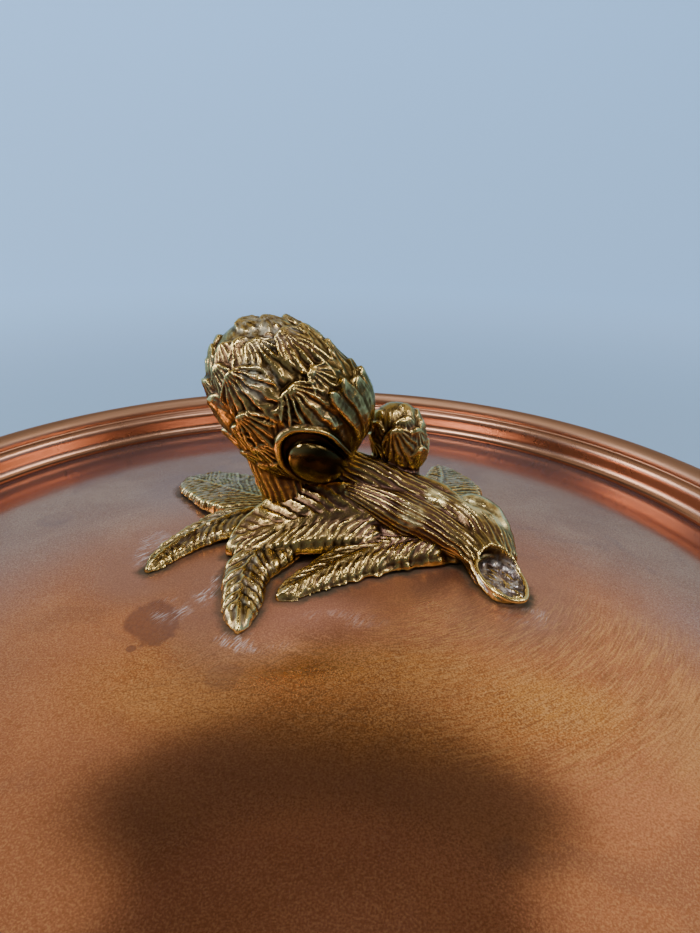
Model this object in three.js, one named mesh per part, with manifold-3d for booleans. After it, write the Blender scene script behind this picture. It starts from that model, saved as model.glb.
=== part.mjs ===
// Covered copper pot: a rolled-rim copper vessel with two riveted cast handles,
// and a drop-in domed lid with a rolled edge and a cast artichoke finial.
// Millimetres, +Z up, origin at the centre of the flat base, +X through the handles.
import * as THREE from 'three';
import { mergeVertices } from 'three/addons/utils/BufferGeometryUtils.js';
import Module from 'manifold-3d';

const wasm = await Module();
wasm.setup();

// ---------------------------------------------------------------- driving dimensions
const SEG = 48;              // facets round every turned piece
const GAP = 0.3;             // air left between touching pieces

// vessel
const POT_RI = 123.8;        // inside radius of the wall
const POT_WALL = 2.0;        // sheet thickness
const POT_RO = POT_RI + POT_WALL;
const POT_H = 150.0;         // base to the top of the rolled rim
const CORNER_R = 14.0;       // outside radius where base turns into wall
const BEAD_R = 3.2;          // outside radius of both rolled edges
const BEAD_T = 1.3;          // sheet thickness in the roll
const WIRE_R = 1.5;          // stiffening wire inside the roll
const POT_BEAD = { r: POT_RI + BEAD_R, z: POT_H - BEAD_R };

// lid, in its own frame: z = 0 is the top of the lid's rolled edge
const LID_BEAD = { r: 126.8, z: -BEAD_R };
const LID_T = 1.4;           // sheet thickness
const LID_WALL_RI = 121.5;   // inner face of the upright wall round the groove
const DOME_R = 551.0;        // radius of the low dome
const DOME_TOP = 0.5;        // its crown above the rolled edge
const FILLET_R = 3.0;        // groove fillet between dome and wall
const LID_Z = POT_H + GAP + 2 * BEAD_R;   // height of the lid's rolled edge on the pot

// handles
const PAD_ANG = THREE.MathUtils.degToRad(26.25);   // pads sit either side of the X axis
const PAD_Z = 113.0;
const PAD_W = 30.0;
const PAD_H = 42.0;
const PAD_T = 4.0;
const GRIP_R = 5.5;
const GRIP_OUT = 172.4;      // grip centre line from the pot's axis
const GRIP_Z = 119.0;
const RIVET_DZ = 13.0;       // rivets above and below the middle of each pad
const RIVET_R = 2.6;

// finial screws, plan positions on the lid
const SCREWS = [[-2.0, 2.5], [15.0, 4.0], [33.0, 1.0]];
const SCREW_R = 2.0;
const SCREW_BITE = 4.6;      // shank above the lid's outer face

// ---------------------------------------------------------------- solid helpers
function closed(geometry) {
  const g = geometry.index ? geometry.toNonIndexed() : geometry.clone();
  g.deleteAttribute('normal');
  g.deleteAttribute('uv');
  const m = mergeVertices(g, 1e-4);
  const p = m.attributes.position;
  const idx = m.index.array;
  const tri = [];
  const a = new THREE.Vector3(), b = new THREE.Vector3(), c = new THREE.Vector3();
  let volume = 0;
  for (let i = 0; i < idx.length; i += 3) {
    const [u, v, w] = [idx[i], idx[i + 1], idx[i + 2]];
    if (u === v || v === w || u === w) continue;      // collapsed at the axis
    tri.push(u, v, w);
    a.fromBufferAttribute(p, u); b.fromBufferAttribute(p, v); c.fromBufferAttribute(p, w);
    volume += a.dot(b.cross(c));
  }
  if (volume < 0) for (let i = 0; i < tri.length; i += 3) [tri[i + 1], tri[i + 2]] = [tri[i + 2], tri[i + 1]];
  const out = new THREE.BufferGeometry();
  out.setAttribute('position', new THREE.BufferAttribute(new Float32Array(p.array), 3));
  out.setIndex(tri);
  return out;
}

function solid(geometry) {
  const c = closed(geometry);
  return new wasm.Manifold(new wasm.Mesh({
    numProp: 3,
    vertProperties: new Float32Array(c.attributes.position.array),
    triVerts: new Uint32Array(c.index.array),
  }));
}

function geometryOf(manifold) {
  const m = manifold.getMesh();
  const out = new THREE.BufferGeometry();
  out.setAttribute('position', new THREE.BufferAttribute(new Float32Array(m.vertProperties), 3));
  out.setIndex(Array.from(m.triVerts));
  out.computeVertexNormals();
  return out;
}

// turned solid from (r, z) points
function lathe(points, segments = SEG) {
  return new THREE.LatheGeometry(points.map(([r, z]) => new THREE.Vector2(r, z)), segments).rotateX(Math.PI / 2);
}

// moves a solid made along +Z to stand at a point, along a direction
function stand(geometry, at, dir) {
  const q = new THREE.Quaternion().setFromUnitVectors(new THREE.Vector3(0, 0, 1), new THREE.Vector3(...dir).normalize());
  return geometry.applyQuaternion(q).translate(...at);
}

const arc = (c, r, from, to, n) => Array.from({ length: n + 1 }, (_, i) => {
  const t = THREE.MathUtils.degToRad(from + (to - from) * i / n);
  return [c.r + r * Math.cos(t), c.z + r * Math.sin(t)];
});

const domeZ = (r, lift = 0) => DOME_TOP + lift - (DOME_R - Math.sqrt(DOME_R * DOME_R - r * r));

function mesh(name, geometry, material) {
  const m = new THREE.Mesh(geometry, material);
  m.name = name;
  return m;
}

// ---------------------------------------------------------------- materials
const copper = new THREE.MeshStandardMaterial({ color: 0xb5643c, roughness: 0.28, metalness: 1.0 });
const brass = new THREE.MeshStandardMaterial({ color: 0xa8813c, roughness: 0.34, metalness: 1.0 });
const rivetCopper = new THREE.MeshStandardMaterial({ color: 0xb0683f, roughness: 0.4, metalness: 1.0 });
const steel = new THREE.MeshStandardMaterial({ color: 0x8d8f92, roughness: 0.45, metalness: 1.0 });

// ---------------------------------------------------------------- vessel
const cornerIn = CORNER_R - POT_WALL;
const vesselProfile = [
  [0, 0],
  ...arc({ r: POT_RO - CORNER_R, z: CORNER_R }, CORNER_R, -90, 0, 4),
  [POT_RO, POT_BEAD.z - Math.sqrt((BEAD_R - BEAD_T) ** 2 - (POT_BEAD.r - POT_RO) ** 2)],
  ...arc(POT_BEAD, BEAD_R - BEAD_T, 180, -98, 7),
  ...arc(POT_BEAD, BEAD_R, -98, 180, 7),
  ...arc({ r: POT_RO - CORNER_R, z: CORNER_R }, cornerIn, 0, -90, 4),
  [0, POT_WALL],
];

function radialAt(sign, side, z, r) {
  const x = Math.cos(PAD_ANG) * sign, y = Math.sin(PAD_ANG) * side;
  return { at: [x * r, y * r, z], dir: [x, y, 0] };
}

const rivetSites = [];
for (const sign of [-1, 1]) for (const side of [-1, 1]) for (const dz of [-RIVET_DZ, RIVET_DZ]) {
  rivetSites.push({ sign, side, z: PAD_Z + dz });
}

const hole = (radius, length, at, dir) => solid(stand(
  lathe([[0, -length / 2], [radius, -length / 2], [radius, length / 2], [0, length / 2]], 12), at, dir));

let vessel = solid(lathe(vesselProfile));
for (const s of rivetSites) {
  const { at, dir } = radialAt(s.sign, s.side, s.z, POT_RO);
  vessel = vessel.subtract(hole(RIVET_R + GAP, 14, at, dir));
}

// ring that lies inside the roll of an edge
const ring = (c, radius) => closed(lathe([...arc(c, radius, 0, 300, 5), [c.r + radius, c.z]]));

// ---------------------------------------------------------------- handles
const wallCutter = solid(lathe([[0, -5], [POT_RO + GAP, -5], [POT_RO + GAP, POT_H], [0, POT_H]]));

function padOutline() {
  const s = new THREE.Shape();
  const n = 14;
  for (let i = 0; i < n; i++) {
    const t = i / n * Math.PI * 2;
    const k = 1 - 0.12 * Math.cos(2 * t);         // slightly waisted oval
    const x = PAD_W / 2 * Math.sin(t) * (0.94 + 0.06 * k), y = PAD_H / 2 * Math.cos(t);
    if (i) s.lineTo(x, y); else s.moveTo(x, y);
  }
  s.closePath();
  return s;
}

function makeHandle(sign) {
  let body = null;
  for (const side of [-1, 1]) {
    const pad = new THREE.ExtrudeGeometry(padOutline(), { depth: PAD_T + 4, bevelEnabled: false, steps: 1 });
    // x across the pad, y up, z outward -> stand it on the wall
    const { dir } = radialAt(sign, side, 0, 1);
    const out = new THREE.Vector3(...dir);
    const up = new THREE.Vector3(0, 0, 1);
    const across = new THREE.Vector3().crossVectors(up, out);
    pad.applyMatrix4(new THREE.Matrix4().makeBasis(across, up, out));
    const start = POT_RO - 4;
    pad.translate(out.x * start, out.y * start, PAD_Z);
    body = body ? body.add(solid(pad)) : solid(pad);
  }
  const u = [Math.cos(PAD_ANG), Math.sin(PAD_ANG)];
  const half = [
    [u[0] * 127.0, u[1] * 127.0, PAD_Z],
    [u[0] * 135.0, u[1] * 135.0, PAD_Z + 0.8],
    [136.5, 61.0, PAD_Z + 2.4],
    [152.0, 54.0, GRIP_Z - 1.6],
    [164.0, 38.0, GRIP_Z - 0.4],
    [170.6, 19.0, GRIP_Z],
    [GRIP_OUT, 0, GRIP_Z],
  ];
  const full = [...half, ...half.slice(0, -1).reverse().map(([x, y, z]) => [x, -y, z])];
  const curve = new THREE.CatmullRomCurve3(full.map(([x, y, z]) => new THREE.Vector3(x * sign, y, z)), false, 'centripetal');
  const section = new THREE.Shape();
  for (let i = 0; i < 8; i++) {
    const t = (i + 0.5) / 8 * Math.PI * 2;
    const x = GRIP_R * Math.cos(t), y = GRIP_R * Math.sin(t);
    if (i) section.lineTo(x, y); else section.moveTo(x, y);
  }
  section.closePath();
  const grip = new THREE.ExtrudeGeometry(section, { steps: 22, extrudePath: curve, bevelEnabled: false });
  body = body.add(solid(grip)).subtract(wallCutter);
  for (const s of rivetSites.filter((r) => r.sign === sign)) {
    const { at, dir } = radialAt(s.sign, s.side, s.z, POT_RO);
    body = body.subtract(hole(RIVET_R + GAP, 14, at, dir));
  }
  return geometryOf(body);
}

// domed head outside the pad, shank through pad and wall, low head inside the pot
function makeRivet(sign, side, z) {
  const inner = POT_RI * Math.cos(Math.PI / SEG) - GAP - POT_RO;    // measured from the wall's outer face
  const outer = PAD_T + GAP;
  const profile = [
    [0, inner - 1.3], [3.0, inner - 1.1], [4.9, inner],
    [RIVET_R, inner], [RIVET_R, outer],
    [5.6, outer], [5.0, outer + 1.5], [3.0, outer + 2.6], [0, outer + 3.0],
  ];
  const { at, dir } = radialAt(sign, side, z, POT_RO);
  return closed(stand(lathe(profile, 10), at, dir));
}

// ---------------------------------------------------------------- lid
const tangentR = LID_WALL_RI - FILLET_R;            // fillet centre radius
const slope = Math.asin(tangentR / (DOME_R + FILLET_R));
const filletC = { r: tangentR, z: DOME_TOP - DOME_R + (DOME_R + FILLET_R) * Math.cos(slope) };
const slopeDeg = THREE.MathUtils.radToDeg(slope);
const domeRings = [0, 22, 46, 70, 94];
const innerRoll = BEAD_R - BEAD_T;
const lidProfile = [
  // underside, from the axis outward
  ...domeRings.map((r) => [r, domeZ(r, -LID_T)]),
  ...arc(filletC, FILLET_R + LID_T, 270 - slopeDeg, 360, 3),
  [LID_WALL_RI + LID_T, -6.9],
  [124.4, -5.3],
  ...arc(LID_BEAD, innerRoll, 210, -98, 7),
  ...arc(LID_BEAD, BEAD_R, -98, 205, 8),
  [LID_WALL_RI, -6.4],
  ...arc(filletC, FILLET_R, 0, -90 - slopeDeg, 3),
  ...domeRings.slice().reverse().map((r) => [r, domeZ(r)]),
];
let lidSheet = solid(lathe(lidProfile));
for (const [x, y] of SCREWS) lidSheet = lidSheet.subtract(hole(SCREW_R + GAP, 20, [x, y, 0], [0, 0, 1]));

// ---------------------------------------------------------------- finial, one casting
// leaf blade: centre line through plan points, width along it, sits on the dome and lifts
function leaf(points, widths, thick, lifts) {
  const curve = new THREE.CatmullRomCurve3(points.map(([x, y]) => new THREE.Vector3(x, y, 0)), false, 'centripetal');
  const n = 7;
  const at = (list, t) => {
    const f = t * (list.length - 1), i = Math.min(Math.floor(f), list.length - 2);
    return list[i] + (list[i + 1] - list[i]) * (f - i);
  };
  const s = new THREE.Shape();
  const pts = [];
  for (let i = 0; i <= n; i++) pts.push([i / n, 1]);
  for (let i = n; i >= 0; i--) pts.push([i / n, -1]);
  pts.forEach(([t, side], i) => (i ? s.lineTo(t, side) : s.moveTo(t, side)));
  s.closePath();
  const g = new THREE.ExtrudeGeometry(s, { depth: 1, bevelEnabled: false, steps: 1 });
  const p = g.attributes.position;
  for (let i = 0; i < p.count; i++) {
    const t = THREE.MathUtils.clamp(p.getX(i), 0, 1), side = p.getY(i), h = p.getZ(i);
    const c = curve.getPointAt(t), d = curve.getTangentAt(t), w = at(widths, t) / 2;
    const x = c.x - d.y * w * side, y = c.y + d.x * w * side;
    const low = domeZ(Math.hypot(x, y)) - 1.0;
    p.setXYZ(i, x, y, h > 0.5 ? domeZ(Math.hypot(x, y)) + at(lifts, t) + thick : low);
  }
  return solid(g);
}

function egg(profile, at, dir, sides = 12) {
  return solid(stand(lathe(profile, sides), at, dir));
}

function bar(a, b, ra, rb, sides = 9) {
  const d = new THREE.Vector3(b[0] - a[0], b[1] - a[1], b[2] - a[2]);
  const len = d.length();
  return solid(stand(lathe([[0, 0], [ra, 0], [rb, len], [0, len]], sides), a, [d.x, d.y, d.z]));
}

const ball = (at, r, squash = 1) => solid(new THREE.IcosahedronGeometry(r, 1).scale(1, 1, squash).translate(...at));

// head: an egg leaning over to -X; bud: a smaller one behind the stem
let finial = egg([[0, -21.7], [6.4, -19.9], [11.4, -15.4], [15.2, -7.5], [16.4, 0], [15.2, 7.5], [11.4, 15.4], [6.4, 19.9], [0, 21.7]],
  [-5.7, 6, 34.4], [-0.63, 0.137, 0.767]);
finial = finial
  .add(egg([[0, -10], [4.6, -7.6], [7.0, -2.4], [7.2, 2.0], [5.4, 7.0], [0, 10]], [21.6, 13, 22.2], [-0.25, 0.10, 0.96], 10))
  // neck, fluted stem and the side branch under the bud
  .add(bar([3.5, 3, 2], [7.0, 3.5, 21], 9.0, 8.4))
  .add(bar([3, 3, 8], [21, 4, 8.6], 8.4, 7.4))
  .add(bar([20, 7, 5], [23.2, 12, 15.5], 7.4, 6.0))
  .add(bar([20, 4, 8.0], [36, 1.5, 5.2], 7.4, 6.0))
  .add(bar([35, 1.8, 5.2], [43, -3, 3.0], 6.0, 5.4))
  .add(bar([36, 9, 3.6], [46, 4, 3.0], 4.2, 4.0))
  .add(bar([45, 5, 2.8], [47.4, -6, -0.4], 4.0, 3.2))
  .add(bar([42.6, -1, 3.0], [43.2, -20.5, 0.2], 5.2, 5.4))
  // feather leaves lying on the dome: centre, left, front, front right, back left, back right
  .add(leaf([[10, 0], [-4, -0.5], [-17, -4.5]], [17, 17, 8], 2.6, [3.6, 2.6, 1.0]))
  .add(leaf([[-8, 11], [-17, 1], [-25, -7.5], [-36, -15.8]], [8, 10, 8.5, 3.2], 2.4, [2.6, 1.8, 0.8, 0.0]))
  .add(leaf([[-9, -9], [-12, -18], [-12.8, -27], [-12.9, -36.3]], [17, 12.5, 10, 4.5], 2.6, [2.2, 1.4, 0.6, 0.0]))
  .add(leaf([[34, -6], [23, -9], [12.5, -14.5], [3.5, -20.5], [-5.6, -26.4]], [11, 14, 13, 10, 4.5], 2.6, [2.6, 2.2, 1.6, 1.0, 0.2]))
  .add(leaf([[-6, 11], [-18, 18], [-28, 25.5], [-39, 35]], [9, 16, 21, 9], 2.2, [2.4, 1.4, 0.6, 0.2]))
  .add(leaf([[29, 11], [34.5, 23], [38.5, 35], [41, 46]], [10, 14, 13, 5], 2.2, [2.6, 2.2, 1.8, 1.4]))
  .add(leaf([[37, 9], [43.5, 19], [48.5, 29]], [8, 10, 4], 2.2, [2.2, 1.8, 1.0]));

// hollow cut end of the stem
finial = finial.subtract(egg([[0, -5], [2.4, -4.0], [3.7, 0], [4.0, 4], [0, 4]], [43.2, -17.6, 3.6], [0.05, -0.30, 0.95], 10));
// seated on the dome, with blind holes for the screws
const seat = solid(lathe([[0, -40], [110, -40], [110, domeZ(110, GAP)], ...domeRings.slice().reverse().map((r) => [r, domeZ(r, GAP)])]));
finial = finial.subtract(seat);
for (const [x, y] of SCREWS) {
  const z = domeZ(Math.hypot(x, y));
  finial = finial.subtract(hole(SCREW_R + GAP, 2 * (SCREW_BITE + 0.6), [x, y, z], [0, 0, 1]));
}

function washerAndScrew(x, y) {
  const under = domeZ(Math.hypot(x, y) + 5.2, -LID_T) - GAP;        // clear of the dome's underside
  const washer = closed(lathe([[SCREW_R + GAP, under], [SCREW_R + GAP, under - 1.0], [5.0, under - 1.0], [5.0, under], [SCREW_R + GAP, under]], 14)
    .translate(x, y, 0));
  const head = under - 1.0 - GAP;
  const top = domeZ(Math.hypot(x, y)) + SCREW_BITE;
  const screw = closed(lathe([
    [0, head - 2.4], [2.6, head - 2.3], [3.8, head - 1.5], [4.0, head],
    [SCREW_R, head], [SCREW_R, top - 0.6], [SCREW_R - 0.6, top], [0, top]], 12).translate(x, y, 0));
  return { washer, screw };
}

// ---------------------------------------------------------------- assembly
const pot = new THREE.Group();
pot.add(mesh('pot_body', geometryOf(vessel), copper));
pot.add(mesh('pot_rim_wire', ring(POT_BEAD, WIRE_R), steel));
pot.add(mesh('handle_left', makeHandle(-1), brass));
pot.add(mesh('handle_right', makeHandle(1), brass));
const count = { left: 0, right: 0 };
for (const s of rivetSites) {
  const hand = s.sign < 0 ? 'left' : 'right';
  count[hand] += 1;
  pot.add(mesh(`${hand}_handle_rivet_${count[hand]}`, makeRivet(s.sign, s.side, s.z), rivetCopper));
}

const lid = new THREE.Group();
lid.position.z = LID_Z;
lid.add(mesh('lid_shell', geometryOf(lidSheet), copper));
lid.add(mesh('lid_rim_wire', ring(LID_BEAD, WIRE_R), steel));
lid.add(mesh('finial', geometryOf(finial), brass));
SCREWS.forEach(([x, y], i) => {
  const { washer, screw } = washerAndScrew(x, y);
  lid.add(mesh(`finial_washer_${i + 1}`, washer, brass));
  lid.add(mesh(`finial_screw_${i + 1}`, screw, brass));
});

const coveredPot = new THREE.Group();
coveredPot.add(pot, lid);
export default coveredPot;
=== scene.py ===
import math

import bpy
import numpy as np
from mathutils import Matrix
from mathutils.kdtree import KDTree


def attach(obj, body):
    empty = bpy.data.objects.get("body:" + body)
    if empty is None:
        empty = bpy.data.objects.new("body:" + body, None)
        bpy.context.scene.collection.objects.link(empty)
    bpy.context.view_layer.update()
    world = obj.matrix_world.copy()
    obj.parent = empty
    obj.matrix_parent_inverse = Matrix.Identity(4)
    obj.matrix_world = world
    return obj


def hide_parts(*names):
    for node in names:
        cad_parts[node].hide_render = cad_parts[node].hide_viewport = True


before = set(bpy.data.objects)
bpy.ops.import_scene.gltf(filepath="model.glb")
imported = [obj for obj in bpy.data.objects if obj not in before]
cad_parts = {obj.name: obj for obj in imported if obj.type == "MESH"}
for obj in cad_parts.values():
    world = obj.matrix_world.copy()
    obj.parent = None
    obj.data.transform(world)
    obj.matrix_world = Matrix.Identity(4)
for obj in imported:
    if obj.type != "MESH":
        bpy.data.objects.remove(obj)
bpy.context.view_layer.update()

MM = 0.001
RNG = np.random.default_rng(11)

# ------------------------------------------------------------------ shared dimensions, mm
POT_RI, POT_WALL, POT_H = 123.8, 2.0, 150.0
POT_RO = POT_RI + POT_WALL
CORNER_R = 14.0
BEAD_R, BEAD_T = 3.2, 1.3
POT_BEAD = (127.0, POT_H - BEAD_R)
LID_Z = 156.7                      # top of the lid's rolled edge on the pot
LID_BEAD = (126.8, -BEAD_R)
LID_T, LID_WALL_RI = 1.4, 121.5
DOME_R, DOME_TOP, FILLET_R = 551.0, 0.5, 3.0
PAD_ANG, PAD_Z = math.radians(26.25), 113.0
GRIP_OUT, GRIP_Z = 172.4, 119.0
RIVET_DZ, RIVET_R, PAD_T = 13.0, 2.6, 4.0
SCREWS = [(-2.0, 2.5), (15.0, 4.0), (33.0, 1.0)]
SCREW_R, GAP = 2.0, 0.3

# the photograph's viewpoint over the lid, in the lid's frame
EYE = np.array([9.1, -149.24, 82.55])
PITCH, ROLL, FOCAL_PX = math.radians(22.75), math.radians(0.94), 700.0


def dome(x, y):
    return DOME_TOP - (DOME_R - np.sqrt(DOME_R ** 2 - (x * x + y * y)))


# ------------------------------------------------------------------ camera
def add_camera():
    fw = np.array([0, math.cos(PITCH), -math.sin(PITCH)])
    rt0 = np.array([1.0, 0, 0])
    dn0 = np.array([0, -math.sin(PITCH), -math.cos(PITCH)])
    rt = math.cos(ROLL) * rt0 - math.sin(ROLL) * dn0
    dn = math.sin(ROLL) * rt0 + math.cos(ROLL) * dn0
    cam = bpy.data.cameras.new("camera")
    cam.sensor_fit = "AUTO"
    cam.sensor_width = 36.0
    cam.lens = 36.0 * FOCAL_PX / 933.0
    cam.clip_start, cam.clip_end = 0.01, 50.0
    ob = bpy.data.objects.new("camera", cam)
    m = Matrix.Identity(4)
    for i in range(3):
        m[i][0], m[i][1], m[i][2] = rt[i], -dn[i], -fw[i]
    m[0][3], m[1][3], m[2][3] = EYE[0] * MM, EYE[1] * MM, (EYE[2] + LID_Z) * MM
    ob.matrix_world = m
    bpy.context.scene.collection.objects.link(ob)
    bpy.context.scene.camera = ob
    return ob


add_camera()


# ------------------------------------------------------------------ mesh helpers
def volume(v, tris):
    a, b, c = v[tris[:, 0]], v[tris[:, 1]], v[tris[:, 2]]
    return float(np.einsum("ij,ij->i", a, np.cross(b, c)).sum())


def grid_body(rings, pole0=None, pole1=None):
    """Closed body from rings (M, N, 3), each a closed loop, with both ends closed by a fan."""
    rings = np.asarray(rings, float)
    m, n = rings.shape[:2]
    v = rings.reshape(-1, 3)
    p0 = rings[0].mean(0) if pole0 is None else np.asarray(pole0, float)
    p1 = rings[-1].mean(0) if pole1 is None else np.asarray(pole1, float)
    v = np.vstack([v, p0, p1])
    i, j = np.meshgrid(np.arange(m - 1), np.arange(n), indexing="ij")
    k = (j + 1) % n
    quads = np.stack([i * n + j, i * n + k, (i + 1) * n + k, (i + 1) * n + j], -1).reshape(-1, 4)
    jj = np.arange(n)
    kk = (jj + 1) % n
    c0 = np.stack([np.full(n, m * n), kk, jj], -1)
    c1 = np.stack([np.full(n, m * n + 1), (m - 1) * n + jj, (m - 1) * n + kk], -1)
    tris = np.vstack([c0, c1])
    alltri = np.vstack([quads[:, [0, 1, 2]], quads[:, [0, 2, 3]], tris])
    if volume(v - v.mean(0), alltri) < 0:
        quads, tris = quads[:, ::-1], tris[:, ::-1]
    return v, quads, tris


def ring_body(section, segments):
    """Closed body from a section loop of (r, z) points turned all the way round."""
    sec = np.asarray(section, float)
    a = np.arange(segments) / segments * 2 * math.pi
    v = np.stack([np.outer(np.cos(a), sec[:, 0]), np.outer(np.sin(a), sec[:, 0]), np.tile(sec[:, 1], (segments, 1))], -1)
    n = len(sec)
    i, j = np.meshgrid(np.arange(segments), np.arange(n), indexing="ij")
    i2, j2 = (i + 1) % segments, (j + 1) % n
    quads = np.stack([i * n + j, i2 * n + j, i2 * n + j2, i * n + j2], -1).reshape(-1, 4)
    v = v.reshape(-1, 3)
    if volume(v, np.vstack([quads[:, [0, 1, 2]], quads[:, [0, 2, 3]]])) < 0:
        quads = quads[:, ::-1]
    return v, quads, np.zeros((0, 3), int)


def join(bodies):
    vs, qs, ts, off = [], [], [], 0
    for v, q, t in bodies:
        vs.append(v)
        qs.append(np.asarray(q, int).reshape(-1, 4) + off)
        ts.append(np.asarray(t, int).reshape(-1, 3) + off)
        off += len(v)
    return np.vstack(vs), np.vstack(qs), np.vstack(ts)


def mesh_object(name, body, lift=0.0, smooth=True):
    v, q, t = body
    v = (v + np.array([0, 0, lift])) * MM
    me = bpy.data.meshes.new(name)
    me.vertices.add(len(v))
    me.vertices.foreach_set("co", v.astype(np.float32).ravel())
    loops = np.concatenate([q.ravel(), t.ravel()]).astype(np.int32)
    me.loops.add(len(loops))
    me.loops.foreach_set("vertex_index", loops)
    starts = np.concatenate([np.arange(len(q)) * 4, len(q) * 4 + np.arange(len(t)) * 3]).astype(np.int32)
    me.polygons.add(len(q) + len(t))
    me.polygons.foreach_set("loop_start", starts)
    me.update(calc_edges=True)
    me.validate()
    if smooth:
        me.polygons.foreach_set("use_smooth", np.ones(len(me.polygons), bool))
    ob = bpy.data.objects.new(name, me)
    bpy.context.scene.collection.objects.link(ob)
    return ob


def evaluated(ob, name):
    dg = bpy.context.evaluated_depsgraph_get()
    me = bpy.data.meshes.new_from_object(ob.evaluated_get(dg))
    old = ob.data
    ob.modifiers.clear()
    ob.data = me
    me.name = name
    bpy.data.meshes.remove(old)
    return ob


def coords(me):
    co = np.zeros(len(me.vertices) * 3)
    me.vertices.foreach_get("co", co)
    return co.reshape(-1, 3)


def normals(me):
    no = np.zeros(len(me.vertices) * 3)
    me.vertices.foreach_get("normal", no)
    return no.reshape(-1, 3)


def edges(me):
    e = np.zeros(len(me.edges) * 2, int)
    me.edges.foreach_get("vertices", e)
    return e.reshape(-1, 2)


def relax(values, e, count, steps, factor=0.5):
    """Laplacian average of a per-vertex array over the mesh's edges."""
    out = np.array(values, float)
    flat = out.ndim == 1
    if flat:
        out = out[:, None]
    for _ in range(steps):
        acc = np.zeros_like(out)
        for k in range(out.shape[1]):
            acc[:, k] += np.bincount(e[:, 0], out[e[:, 1], k], len(out))
            acc[:, k] += np.bincount(e[:, 1], out[e[:, 0], k], len(out))
        out = out * (1 - factor) + factor * acc / count[:, None]
    return out[:, 0] if flat else out


def attribute(me, name, values):
    a = me.attributes.new(name, "FLOAT", "POINT")
    a.data.foreach_set("value", np.asarray(values, np.float32))


def catmull(pts, n):
    """Smooth curve through the points, n samples evenly spaced along it."""
    p = np.asarray(pts, float)
    p = np.vstack([2 * p[0] - p[1], p, 2 * p[-1] - p[-2]])
    out = []
    for i in range(1, len(p) - 2):
        t = np.linspace(0, 1, 40, endpoint=False)[:, None]
        a, b, c, d = p[i - 1], p[i], p[i + 1], p[i + 2]
        out.append(0.5 * (2 * b + (c - a) * t + (2 * a - 5 * b + 4 * c - d) * t ** 2 + (3 * b - a - 3 * c + d) * t ** 3))
    out = np.vstack(out + [p[-2][None]])
    s = np.concatenate([[0], np.cumsum(np.linalg.norm(np.diff(out, axis=0), axis=1))])
    u = np.linspace(0, s[-1], n)
    return np.stack([np.interp(u, s, out[:, k]) for k in range(out.shape[1])], -1), s[-1]


def along(vals, s):
    """Smooth values given at even steps of s in 0..1."""
    vals = np.atleast_1d(np.asarray(vals, float))
    if len(vals) == 1:
        return np.full_like(s, vals[0])
    c, _ = np.polynomial.polynomial.polyfit, None
    x = np.linspace(0, 1, len(vals))
    f = np.interp(s, x, vals)
    # smooth the corners
    k = max(3, len(s) // (len(vals) * 2) | 1)
    pad = np.pad(f, k, mode="edge")
    ker = np.hanning(k + 2)[1:-1]
    return np.convolve(pad, ker / ker.sum(), mode="same")[k:-k]


def ridge(ph, p=1.5):
    return (0.5 + 0.5 * np.cos(2 * math.pi * ph)) ** p


def rough(x, y, scale, seed):
    """Cheap smooth noise in about -1..1 from crossed waves."""
    r = np.random.default_rng(seed)
    out = 0
    for _ in range(5):
        a = r.uniform(0, 2 * math.pi)
        k = r.uniform(0.6, 1.7) / scale
        out = out + np.sin((x * math.cos(a) + y * math.sin(a)) * k * 2 * math.pi + r.uniform(0, 6.28))
    return out / 3.0


# ------------------------------------------------------------------ finial: one brass casting
def ease(x):
    x = np.clip(x, 0, 1)
    return x * x * (3 - 2 * x)


def saw(ph, rise=0.2):
    """Overlapping barbs: a quick step up, then a long easy fall."""
    p = ph - np.floor(ph)
    return np.where(p < rise, ease(p / rise), 1 - np.clip((p - rise) / (1 - rise), 0, 1) ** 1.4)


def lobes(ph, k=0.6):
    """Round swellings with narrow grooves between them."""
    return np.abs(np.sin(math.pi * ph)) ** k


def blur(f, n):
    if n < 2:
        return f
    ker = np.hanning(n + 2)[1:-1]
    return np.convolve(np.pad(f, n, mode="edge"), ker / ker.sum(), mode="same")[n:-n]


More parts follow.
